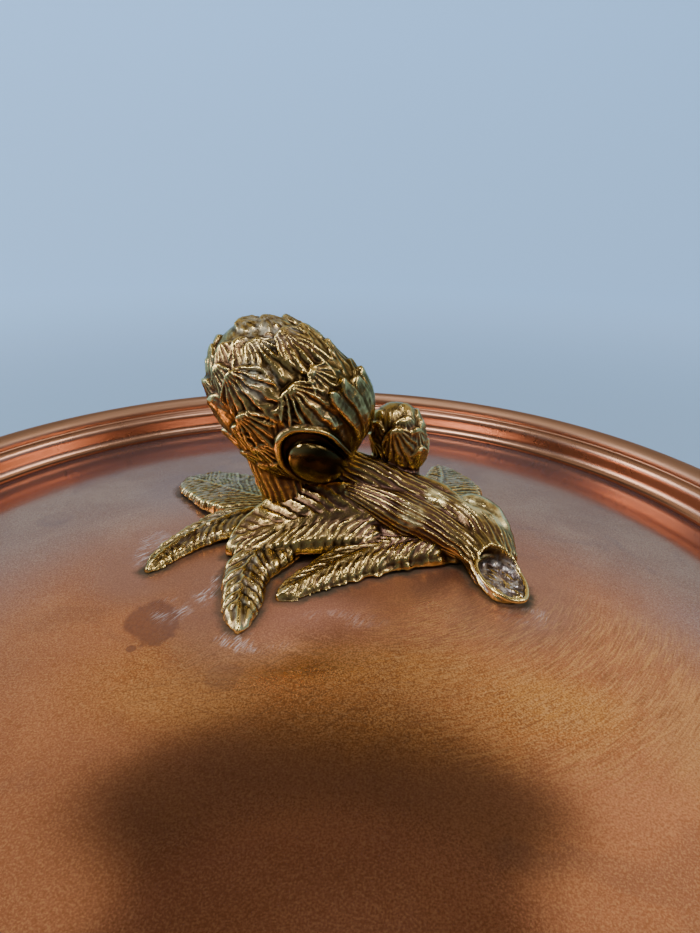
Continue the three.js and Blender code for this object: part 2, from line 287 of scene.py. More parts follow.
def leaf(ctrl, lift, wl, wr, tip=0.2, crown=0.5, tilt=(0.0, 0.0), rib=(0.55, 0.4), barb=(2.3, 1.0, 0.42), style=0.0,
         gap=0.15, edge=1.0, flare=0.4, lip=(0.0, 0.0), seed=0, step=0.2, fade=(0.0, 1.0), scallop=0.06, point=(1.8, 0.75), grain=0.05,
         spread=0.0, sides_amp=(1.0, 1.0), lumpy=0.0, root=0.0, under=(0.0,), nose=2.5):
    """Feather-like leaf lying over the dome. ctrl runs from root to tip; wl, wr are the half widths on either side."""
    _, length = catmull(ctrl, 20)
    n = int(length / step) + 2
    c, length = catmull(ctrl, n)
    s = np.linspace(0, 1, n)
    d = np.gradient(c, axis=0)
    d /= np.linalg.norm(d, axis=1)[:, None]
    nl = np.stack([-d[:, 1], d[:, 0]], -1)
    x = np.clip(s - (1 - tip), 0, None) / tip
    rnd = np.clip(1 - x ** point[0], 0, 1) ** point[1]
    if root:
        rnd = rnd * np.sqrt(np.clip(1 - (1 - np.clip(s / root, 0, 1)) ** 2, 0.0004, 1))
    spacing, slant, amp = barb
    spacing, slant = np.atleast_1d(spacing).astype(float), np.atleast_1d(slant).astype(float)
    r = np.random.default_rng(seed + 5)
    amps = 0.55 + 0.8 * r.random(400)
    jit = 0.3 * (r.random(400) - 0.5)

    def pattern(smm, offs, tt, X, Y):
        wob = 0.24 * rough(X, Y, 9.0, seed) + 0.06 * rough(X, Y, 2.6, seed + 1)
        bend = np.abs(offs) * np.where(tt > 0, slant[0], slant[-1]) * (1 - 0.22 * np.abs(tt)) * (1 + spread * smm / length)
        ph = (smm - bend) / np.where(tt > 0, spacing[0], spacing[-1]) + wob + np.where(tt > 0, 0.0, 0.45)
        idx = np.where(tt > 0, (np.floor(ph).astype(int) + 200) % 400, (np.floor(ph).astype(int) + 333) % 400)
        ph = ph + jit[idx] * np.sin(math.pi * (ph - np.floor(ph)))
        side = np.where(tt > 0, sides_amp[0], sides_amp[1])
        return ((1 - style) * saw(ph) + style * lobes(ph)) * amps[idx] * side

    smm1 = s * length
    W = []
    for w, sg in ((wl, 1.0), (wr, -1.0)):
        base = along(w, s) * rnd + 0.02
        ex = c[:, 0] + nl[:, 0] * base * sg
        ey = c[:, 1] + nl[:, 1] * base * sg
        pt = pattern(smm1, base, np.full(n, sg), ex, ey)
        base = base * (1 - scallop * blur(1 - np.clip(pt, 0, 1), 3) * np.clip(base / 2.0, 0, 1))
        W.append(base + lumpy * 0.6 * rough(smm1, smm1 * 0 + 7 * sg, 6.0, seed + 40) * np.clip(base / 3.0, 0, 1))
    WL, WR = W
    m = int(max(WL.max(), WR.max()) / step) + 4
    t = np.concatenate([-np.linspace(1, 0, m), np.linspace(0, 1, m)[1:]])
    T = np.tile(t, (n, 1))
    off = np.where(T > 0, T * WL[:, None], T * WR[:, None])
    Wm = np.where(T > 0, WL[:, None], WR[:, None])
    X = c[:, :1] + nl[:, :1] * off
    Y = c[:, 1:] + nl[:, 1:] * off
    smm = np.tile(smm1[:, None], (1, len(t)))
    pt = pattern(smm, off, T, X, Y)
    env = np.clip(np.abs(off) / 0.8, 0, 1) * np.clip(0.4 + Wm / 4.0, 0, 1)
    env = env * np.clip((s[:, None] - fade[0]) / 0.08 + 0.3, 0, 1) * np.clip((fade[1] - s[:, None]) / 0.08, 0, 1)
    lips = np.where(T > 0, lip[0], lip[1])
    near_lip = np.exp(-(((1 - np.abs(T)) * Wm - 0.5) / 0.9) ** 2)
    env = env * (1 - 0.75 * near_lip * np.clip(lips / 0.3, 0, 1))
    top = along(lift, s)[:, None] + crown * (1 - T ** 2)
    top = top + along(tilt[0], s)[:, None] * np.clip(T, 0, 1) + along(tilt[1], s)[:, None] * np.clip(-T, 0, 1) ** 0.85
    top = top + amp * (pt - 0.5) * env
    top = top + rib[1] * np.exp(-(off / rib[0]) ** 2) - 0.6 * rib[1] * np.exp(-((np.abs(off) - 1.9 * rib[0]) / (0.7 * rib[0])) ** 2)
    top = top + grain * rough(X, Y, 1.5, seed + 2) + grain * 0.6 * rough(X, Y, 0.8, seed + 3) + lumpy * 0.5 * rough(X, Y, 6.0, seed + 41) * np.abs(T)
    top = top + lips * near_lip
    ew = edge / np.maximum(Wm, edge * 1.02)
    e = np.clip((np.abs(T) - (1 - ew)) / ew, 0, 1)
    top = top - edge * 0.7 * (1 - np.sqrt(np.clip(1 - e ** 2, 0, 1)))
    if root:
        low = (1 - np.clip(s / root, 0, 1)) ** 2
        top = top * (1 - 0.5 * low[:, None])
    top = top * (0.35 + 0.65 * np.sqrt(np.clip(1 - x ** nose, 0, 1)))[:, None]
    Ztop = dome(X, Y) + top
    g = along(gap, s)
    sides = {}
    for key, col, sgn in (("r", -1, 1.0), ("l", 0, -1.0)):
        ex, ey, ez = X[:, col], Y[:, col], Ztop[:, col]
        pts = []
        for f in (0.7, 0.4, 0.12):
            o = (flare + lumpy * 0.7 * rough(smm1, smm1 * 0 + 3 * f + 9 * sgn, 4.5, seed + 42)) * math.sin((1 - f) * math.pi * 0.75) * np.clip(rnd + 0.25, 0, 1) * sgn
            px, py = ex + nl[:, 0] * o, ey + nl[:, 1] * o
            pz = (dome(px, py) + g + (along(under, s) if key == "r" else 0.0)) * (1 - f) + ez * f
            pts.append(np.stack([px, py, pz], -1))
        sides[key] = pts
    nb = 9
    bl, br = sides["r"][-1], sides["l"][-1]
    bot = []
    raised = along(under, s)
    for k in range(nb):
        f = k / (nb - 1)
        p = bl * (1 - f) + br * f
        p[:, 2] = dome(p[:, 0], p[:, 1]) + g + raised * np.clip(1 - f / 0.55, 0, 1)
        bot.append(p)
    topP = np.stack([X, Y, Ztop], -1)
    cols = [topP[:, k] for k in range(topP.shape[1])] + sides["r"] + bot + sides["l"][::-1]
    return grid_body(np.stack(cols, 1))


def frames(p):
    d = np.gradient(p, axis=0)
    d /= np.linalg.norm(d, axis=1)[:, None]
    up = np.tile([0, 0, 1.0], (len(p), 1))
    side = np.cross(d, up)
    bad = np.linalg.norm(side, axis=1) < 0.2
    side[bad] = np.cross(d[bad], [0, 1.0, 0])
    side /= np.linalg.norm(side, axis=1)[:, None]
    upn = np.cross(side, d)
    return d, side, upn


def tube(pts, radii, squash=1.0, flutes=None, lump=0.0, seed=0, nphi=120, step=0.25, round_ends=True, grain=0.03):
    """Rounded bar along a curve. flutes: count round the bar, height, narrowness, twist in turns per 10 mm."""
    _, length = catmull(pts, 20)
    n = int(length / step) + 4
    c, length = catmull(pts, n)
    s = np.linspace(0, 1, n)
    d, side, up = frames(c)
    R = along(radii, s)
    if flutes:
        nphi = max(nphi, int(flutes[0] * 6))
    a = np.arange(nphi) / nphi * 2 * math.pi
    A, S = np.meshgrid(a, s)
    rad = np.tile(R[:, None], (1, nphi))
    sm = S * length
    if flutes:
        cnt, amp, power, twist = flutes
        ph = A / (2 * math.pi) * cnt + twist * sm / 10 + 0.16 * rough(sm, A * 4, 14.0, seed) + 0.05 * rough(sm, A * 5, 5.0, seed + 9)
        r = np.random.default_rng(seed + 3)
        am = (0.35 + 1.0 * r.random(200))[(np.floor(ph + 0.5).astype(int) + 100) % 200]
        am = am * np.clip(0.8 + 0.6 * rough(sm, A * 6, 7.0, seed + 13), 0.1, 1.4)
        rad = rad + amp * am * (ridge(ph, power) - 0.3)
    if lump:
        rad = rad + lump * rough(sm, A * R.mean(), 5.0, seed + 7)
    rad = rad + grain * rough(sm, A * R.mean(), 1.4, seed + 17)
    rings = (c[:, None, :] + side[:, None, :] * (rad * np.cos(A))[..., None]
             + up[:, None, :] * (rad * squash * np.sin(A))[..., None])
    if round_ends:
        k = 7
        th = np.linspace(0, math.pi / 2, k + 1)[1:-1]
        first = [c[0] - d[0] * R[0] * 0.6 * math.sin(x) + (rings[0] - c[0]) * math.cos(x) for x in th[::-1]]
        last = [c[-1] + d[-1] * R[-1] * 0.6 * math.sin(x) + (rings[-1] - c[-1]) * math.cos(x) for x in th]
        rings = np.concatenate([np.array(first), rings, np.array(last)])
    return grid_body(rings)


def artichoke(cen, axis, ra, hl, bracts, hoods=(), expo=2.3, nphi=560, nz=400, seed=0, grain=0.05, low=1.0, fan=4.2, power=2.0, swells=()):
    """Egg of overlapping bracts with ridges that fan out from each tip.
    Bract: height of its tip on the axis, angle, turn, width, length, thickness, ridge height, distance from tip to full width.
    Hood: height and angle of its middle, half width and half height, rim height, swelling height and its own half sizes."""
    cen, ax = np.asarray(cen, float), np.asarray(axis, float)
    ax = ax / np.linalg.norm(ax)
    tc = EYE - cen
    e1 = tc - ax * (tc @ ax)
    e1 /= np.linalg.norm(e1)
    e2 = np.cross(ax, e1)
    th = np.linspace(0, math.pi, nz + 2)[1:-1]
    z = -np.cos(th) * hl
    r = ra * (1 - np.abs(z / hl) ** expo) ** 0.5 * np.where(z < 0, 1 - (1 - low) * ease(-z / hl), 1.0)
    ds = np.sqrt(np.diff(r) ** 2 + np.diff(z) ** 2)
    q = np.concatenate([[0], np.cumsum(ds)])
    phi = np.arange(nphi) / nphi * 2 * math.pi - math.pi
    P, Z = np.meshgrid(phi, z)
    Rg, Q = np.tile(r[:, None], (1, nphi)), np.tile(q[:, None], (1, nphi))
    # ground between the bracts carries lines of its own
    H = 0.26 * ridge(P * 34 / (2 * math.pi) + 0.3 * rough(P * ra, Z, 9.0, seed + 90), 1.4) * np.clip(Rg / ra, 0, 1)
    for i, (zt, ang, rot, w, l, h, gr, b1) in enumerate(bracts):
        qt = np.interp(zt, z, q)
        rr = np.random.default_rng(seed * 100 + i)
        b0 = qt - Q
        a0 = ((P - math.radians(ang) + math.pi) % (2 * math.pi) - math.pi) * np.maximum(Rg, ra * 0.18)
        rc, rs = math.cos(math.radians(rot)), math.sin(math.radians(rot))
        a, b = a0 * rc + b0 * rs, b0 * rc - a0 * rs
        b = b + 0.24 * rough(a + 40 * i, b, 5.0, seed + i) + 0.05 * rough(a + 40 * i, b, 1.8, seed + i + 50)
        a = a + 0.2 * rough(a, b + 30 * i, 6.0, seed + i + 20)
        u = np.clip(b / b1, 0, 1)
        hw = w / 2 * np.sqrt(np.clip(1 - (1 - u) ** 2, 0, 1)) ** 1.15
        hw = hw * (1 - 0.16 * np.clip((b - b1) / max(l - b1, 1.0), 0, 1))
        em = np.clip((hw - np.abs(a)) / 0.7, 0, 1)
        eb = np.clip(b / 0.5, 0, 1) * np.clip((l - b) / 3.0, 0, 1)
        m = em * em * (3 - 2 * em) * eb * eb * (3 - 2 * eb)
        across = a / np.maximum(hw, 0.3)
        body = h * (1 - 0.85 * np.clip(b / l, 0, 1)) + 0.35 * h * (1 - np.clip(np.abs(across), 0, 1) ** 2)
        body = body + rr.uniform(-0.28, 0.28) * h * np.clip(across, -1, 1)
        body = body + 0.36 * h * np.exp(-((b - 0.9) ** 2 + a ** 2) / 1.5 ** 2)
        body = body + 0.10 * h * np.exp(-((hw - np.abs(a) - 0.6) / 0.5) ** 2)
        if gr:
            tht = np.arctan2(a, np.maximum(b, 0) + 0.9)
            ph = tht * fan * rr.uniform(0.9, 1.15) + rr.uniform(0, 1) + 0.05 * rough(a, b, 4.0, seed + i + 70)
            k = (np.floor(ph + 0.5).astype(int) + 50) % 100
            am = (0.45 + 0.95 * rr.random(100))[k] * np.clip(0.95 + 0.45 * rough(tht * 12, b * 0.6, 5.0, seed + 31 + i), 0.2, 1.5)
            grow = np.clip((b + 0.2) / 1.6, 0, 1)
            body = body + 1.45 * gr * am * (ridge(ph, power) - 0.32) * grow
            body = body + 0.45 * gr * (ridge(ph * 2.0 + 0.4 + 0.15 * rough(a, b, 3.0, seed + i + 95), 1.2) - 0.5) * np.clip((b - 3.0) / 3, 0, 1)
        H = np.maximum(H, m * body)
    X3, Y3 = P * ra, Z
    H = H + grain * rough(X3, Y3, 1.7, seed + 61) + grain * 0.8 * rough(X3, Y3, 0.9, seed + 62)
    for zc, ang, wa, wb, rim, swell, sz, sang, sa, sb in hoods:
        a = ((P - math.radians(ang) + math.pi) % (2 * math.pi) - math.pi) * Rg
        a = a + 0.25 * rough(a, Z, 9.0, seed + 7)
        rho = np.sqrt((a / wa) ** 2 + ((Z - zc) / wb) ** 2)
        inside = 1 - ease((rho - 0.84) / 0.12)
        H = H * (1 - inside) + 0.15 * inside
        scale = 0.5 * (wa + wb)
        arch = np.clip((Z - (zc - 0.75 * wb)) / 3.0, 0, 1)
        dd = (rho - 0.90) * scale
        ringh = rim * np.clip(1 - (dd / 0.95) ** 2, 0, 1) ** 0.55 * arch
        H = np.maximum(H, ringh * (1 + 0.06 * rough(a, Z, 4.0, seed + 8)))
        a2 = ((P - math.radians(sang) + math.pi) % (2 * math.pi) - math.pi) * Rg
        rho2 = np.sqrt((a2 / sa) ** 2 + ((Z - sz) / sb) ** 2)
        bulge = swell * np.clip(1 - rho2 ** 2, 0, 1) ** 0.42
        bulge = bulge + 0.05 * rough(a2, Z, 2.4, seed + 12) * np.clip(1 - rho2, 0, 1)
        H = np.where(rho2 < 1, np.maximum(H * np.clip((rho2 - 0.86) / 0.14, 0, 1), bulge), H)
    for zc, ang, sz, sa, amount in swells:
        H = H + amount * np.exp(-((Z - zc) / sz) ** 2 - (((P - math.radians(ang) + math.pi) % (2 * math.pi) - math.pi) / math.radians(sa)) ** 2)
    nr = np.gradient(z) / np.sqrt(np.gradient(z) ** 2 + np.gradient(r) ** 2)
    nzv = -np.gradient(r) / np.sqrt(np.gradient(z) ** 2 + np.gradient(r) ** 2)
    RR = Rg + H * nr[:, None]
    ZZ = Z + H * nzv[:, None]
    rings = cen + RR[..., None] * (np.cos(P)[..., None] * e1 + np.sin(P)[..., None] * e2) + ZZ[..., None] * ax
    p0, p1 = cen - ax * (hl + 0.3), cen + ax * (hl + 0.4)
    return grid_body(rings, p0, p1)


def head_bracts():
    out = [
        # crown, small and worn flat, its middle turned to the upper left
        (20.0, -100, 0, 7.5, 8.5, 0.8, 0.22, 3.6), (19.8, 150, 0, 7.5, 8.0, 0.7, 0.22, 3.4), (19.6, 35, 0, 7.0, 8.0, 0.7, 0.22, 3.4),
        (19.0, -62, 12, 6.5, 8.5, 0.9, 0.24, 3.6), (17.8, -104, 0, 7.0, 8.0, 1.0, 0.24, 3.6), (17.4, -150, 0, 7.5, 8.0, 0.9, 0.24, 3.6),
        (14.6, -74, 4, 7.5, 9.0, 1.1, 0.28, 4.0), (13.2, -108, 0, 8.5, 10.0, 1.1, 0.28, 4.2), (13.4, -150, 0, 9.0, 10.0, 1.1, 0.28, 4.4),
        (18.0, -25, 9, 8.0, 9.0, 0.7, 0.22, 4.5), (16.6, -2, 14, 7.5, 10.0, 0.7, 0.28, 4.0), (14.6, 9, 6, 9.0, 13.0, 0.8, 0.34, 4.6),
        (17.2, 58, 20, 8.0, 8.0, 0.7, 0.18, 4.0), (15.0, 88, 0, 9.0, 10.0, 0.8, 0.26, 4.4), (17.4, 140, 0, 8.0, 9.0, 0.7, 0.22, 4.0),
        (15.4, 182, 0, 9.5, 11.0, 0.8, 0.28, 4.4), (16.6, 225, 0, 8.5, 10.0, 0.8, 0.24, 4.2), (15.2, 268, 0, 9.5, 12.0, 0.8, 0.28, 4.6),
        # second row
        (15.2, -44, -2, 8.5, 13.0, 0.9, 0.34, 4.8), (12.6, 36, -15, 13.0, 18.0, 1.0, 0.40, 6.4), (11.0, 66, 0, 10.5, 15.0, 1.0, 0.30, 5.4),
        (10.6, 104, 0, 12.0, 15.0, 1.1, 0.34, 5.6), (11.0, 146, 0, 12.0, 15.0, 1.1, 0.34, 5.6), (10.4, 190, 0, 12.0, 15.0, 1.1, 0.34, 5.6),
        (11.0, 234, 0, 12.0, 15.0, 1.1, 0.34, 5.6), (10.9, 272, 10, 10.0, 14.0, 1.0, 0.30, 5.0), (10.8, -69, -19, 8.5, 11.0, 1.2, 0.06, 4.6),
        # the large fan on the near side
        (12.0, -26, -4, 13.5, 17.0, 1.3, 0.56, 6.0),
        # third row
        (5.4, 74, 0, 10.0, 14.0, 1.1, 0.28, 5.0), (4.8, 108, 0, 12.0, 14.0, 1.1, 0.32, 5.4), (5.2, 150, 0, 12.0, 14.0, 1.1, 0.32, 5.4),
        (4.6, 192, 0, 12.0, 14.0, 1.1, 0.32, 5.4), (5.0, 234, 0, 12.0, 14.0, 1.1, 0.32, 5.4), (4.2, 276, 0, 11.0, 14.0, 1.1, 0.32, 5.4),
        (2.4, 26, -30, 9.5, 13.0, 1.0, 0.44, 5.4), (2.6, 6, -2, 12.5, 16.0, 1.25, 0.52, 6.2), (3.4, -54, 9, 9.0, 13.0, 1.1, 0.36, 5.0),
        (4.2, -38, 1, 10.5, 15.0, 1.25, 0.42, 5.2), (0.8, -12, 16, 8.5, 11.0, 0.9, 0.40, 4.6),
        # fourth row
        (-1.0, 84, 0, 11.0, 14.0, 1.1, 0.20, 5.0), (-0.8, 122, 0, 12.0, 14.0, 1.2, 0.30, 5.2), (-1.2, 164, 0, 12.0, 14.0, 1.2, 0.30, 5.2),
        (-0.8, 206, 0, 12.0, 14.0, 1.2, 0.30, 5.2), (-1.2, 248, 0, 12.0, 14.0, 1.2, 0.30, 5.2), (-2.0, 286, 5, 10.5, 14.0, 1.1, 0.32, 5.2),
        (-3.0, -48, 4, 9.0, 15.0, 1.0, 0.36, 5.0), (-6.6, -66, 8, 10.0, 13.0, 1.1, 0.34, 5.0), (-8.0, -50, 6, 7.0, 12.0, 1.0, 0.30, 5.0),
        # long narrow folds on the right, under the big fan
        (-3.6, 29, -14, 3.8, 16.0, 1.4, 0.04, 2.8), (-3.0, 43, -10, 4.2, 17.0, 1.6, 0.05, 3.4), (-4.4, 58, -8, 4.4, 16.0, 1.3, 0.05, 3.2),
        (-3.4, 73, -5, 4.8, 16.0, 1.6, 0.05, 3.6), (-5.4, 88, -4, 5.2, 14.0, 1.2, 0.06, 3.6),
        # last row
        (-7.4, 96, 0, 12.0, 12.0, 1.3, 0.22, 5.2), (-7.0, 136, 0, 12.0, 12.0, 1.3, 0.28, 5.2), (-7.5, 178, 0, 12.0, 12.0, 1.3, 0.28, 5.2),
        (-7.0, 220, 0, 12.0, 12.0, 1.3, 0.28, 5.2), (-7.4, 260, 0, 12.0, 12.0, 1.3, 0.28, 5.2),
    ]
    return out


def bud_bracts():
    out = []
    for k in range(3):
        out.append((8.2, 60 + 120 * k, 0, 5.4, 6.0, 0.4, 0.16, 2.4))
    for k in range(5):
        out.append((6.2, 20 + 72 * k, 0, 6.4, 9.0, 0.55, 0.26, 3.0))
    for k, a in enumerate((36, 74, 112, 172, 232, 292)):
        out.append((3.2 + 0.5 * (k % 2), a, 0, 6.4, 10.0, 0.7, 0.30, 3.4))
    for k, a in enumerate((40, 100, 160, 220, 280)):
        out.append((-1.8, a, 0, 7.4, 9.0, 0.8, 0.30, 3.6))
    out.append((4.2, -6, -6, 9.0, 14.0, 1.0, 0.34, 4.6))
    return out


FOOT = np.array([42.6, -17.8, 2.0])
FOOT_U = np.array([5.0, -13.5, -3.5]) / np.linalg.norm([5.0, -13.5, -3.5])
FOOT_V = np.array([10.2, 2.5, -1.9]) - FOOT_U * (np.array([10.2, 2.5, -1.9]) @ FOOT_U)
FOOT_V /= np.linalg.norm(FOOT_V)
FOOT_N = np.cross(FOOT_V, FOOT_U)
FOOT_N = FOOT_N if FOOT_N[2] > 0 else -FOOT_N


def cut_end(v):
    """Cuts the stem off along a slanting oval and hollows the cut face a little."""
    d = v - FOOT
    u, w, h = d @ FOOT_U, d @ FOOT_V, d @ FOOT_N
    rho = np.sqrt((u / 7.2) ** 2 + (w / 5.1) ** 2)
    pit = -1.15 + 0.30 * rough(u, w, 3.4, 77) + 0.22 * rough(u, w, 1.3, 78) + 0.4 * np.clip(u / 6.0, -1, 1)
    face = pit + (0.1 - pit) * ease((rho - 0.76) / 0.22)
    hit = (rho < 1.0) & (h > face)
    v[hit] -= FOOT_N * (h - face)[hit][:, None]
    return v


def cut_lip():
    """Rolled lip round the cut face."""
    a = np.linspace(0, 2 * math.pi + 0.25, 150)
    wav = 1 + 0.022 * np.sin(3 * a + 1.0) + 0.014 * np.sin(5 * a)
    pts = FOOT + np.outer(np.cos(a) * 7.1 * wav, FOOT_U) + np.outer(np.sin(a) * 5.1 * wav, FOOT_V) - FOOT_N * 0.15
    return tube(pts[::6], [0.62, 0.5, 0.6, 0.46, 0.62], nphi=36, step=0.3, grain=0.02, seed=71)


def casting(name, bodies, budget=193000, voxel=0.00026):
    """One closed skin over the bodies, with its own ridge heights stored on it."""
    v, q, t = join(bodies)
    floor = dome(v[:, 0], v[:, 1]) + 0.12
    v[:, 2] = np.maximum(v[:, 2], floor)
    ob = mesh_object(name, (v, q, t), LID_Z)
    md = ob.modifiers.new("union", "REMESH")
    md.mode = "VOXEL"
    md.voxel_size = voxel
    md.adaptivity = 0.0
    evaluated(ob, name)
    me = ob.data
    e = edges(me)
    cnt = np.bincount(e.ravel(), minlength=len(me.vertices)).astype(float)
    co = relax(coords(me), e, cnt, 2, 0.35)
    me.vertices.foreach_set("co", co.astype(np.float32).ravel())
    me.update()
    tri = sum(len(p.vertices) - 2 for p in me.polygons)
    if tri > budget:
        dm = ob.modifiers.new("trim", "DECIMATE")
        dm.ratio = budget / tri
        evaluated(ob, name)
    me = ob.data
    me.polygons.foreach_set("use_smooth", np.ones(len(me.polygons), bool))
    me.update()
    # how far each point stands above or below its smoothed surroundings, at two sizes
    e = edges(me)
    cnt = np.maximum(np.bincount(e.ravel(), minlength=len(me.vertices)).astype(float), 1)
    co, no = coords(me), normals(me)
    fine_ = relax(co, e, cnt, 6)
    wide = relax(fine_, e, cnt, 46)
    f = np.einsum("ij,ij->i", co - fine_, no) / (0.09 * MM)
    w = np.einsum("ij,ij->i", fine_ - wide, no) / (0.40 * MM)
    attribute(me, "ridge_fine", np.clip(0.5 + 0.5 * f, 0, 1))
    attribute(me, "ridge_wide", np.clip(0.5 + 0.5 * w, 0, 1))
    print(name, tri, "->", sum(len(p.vertices) - 2 for p in me.polygons), "triangles")
    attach(ob, "lid")
    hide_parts("finial")
    return ob


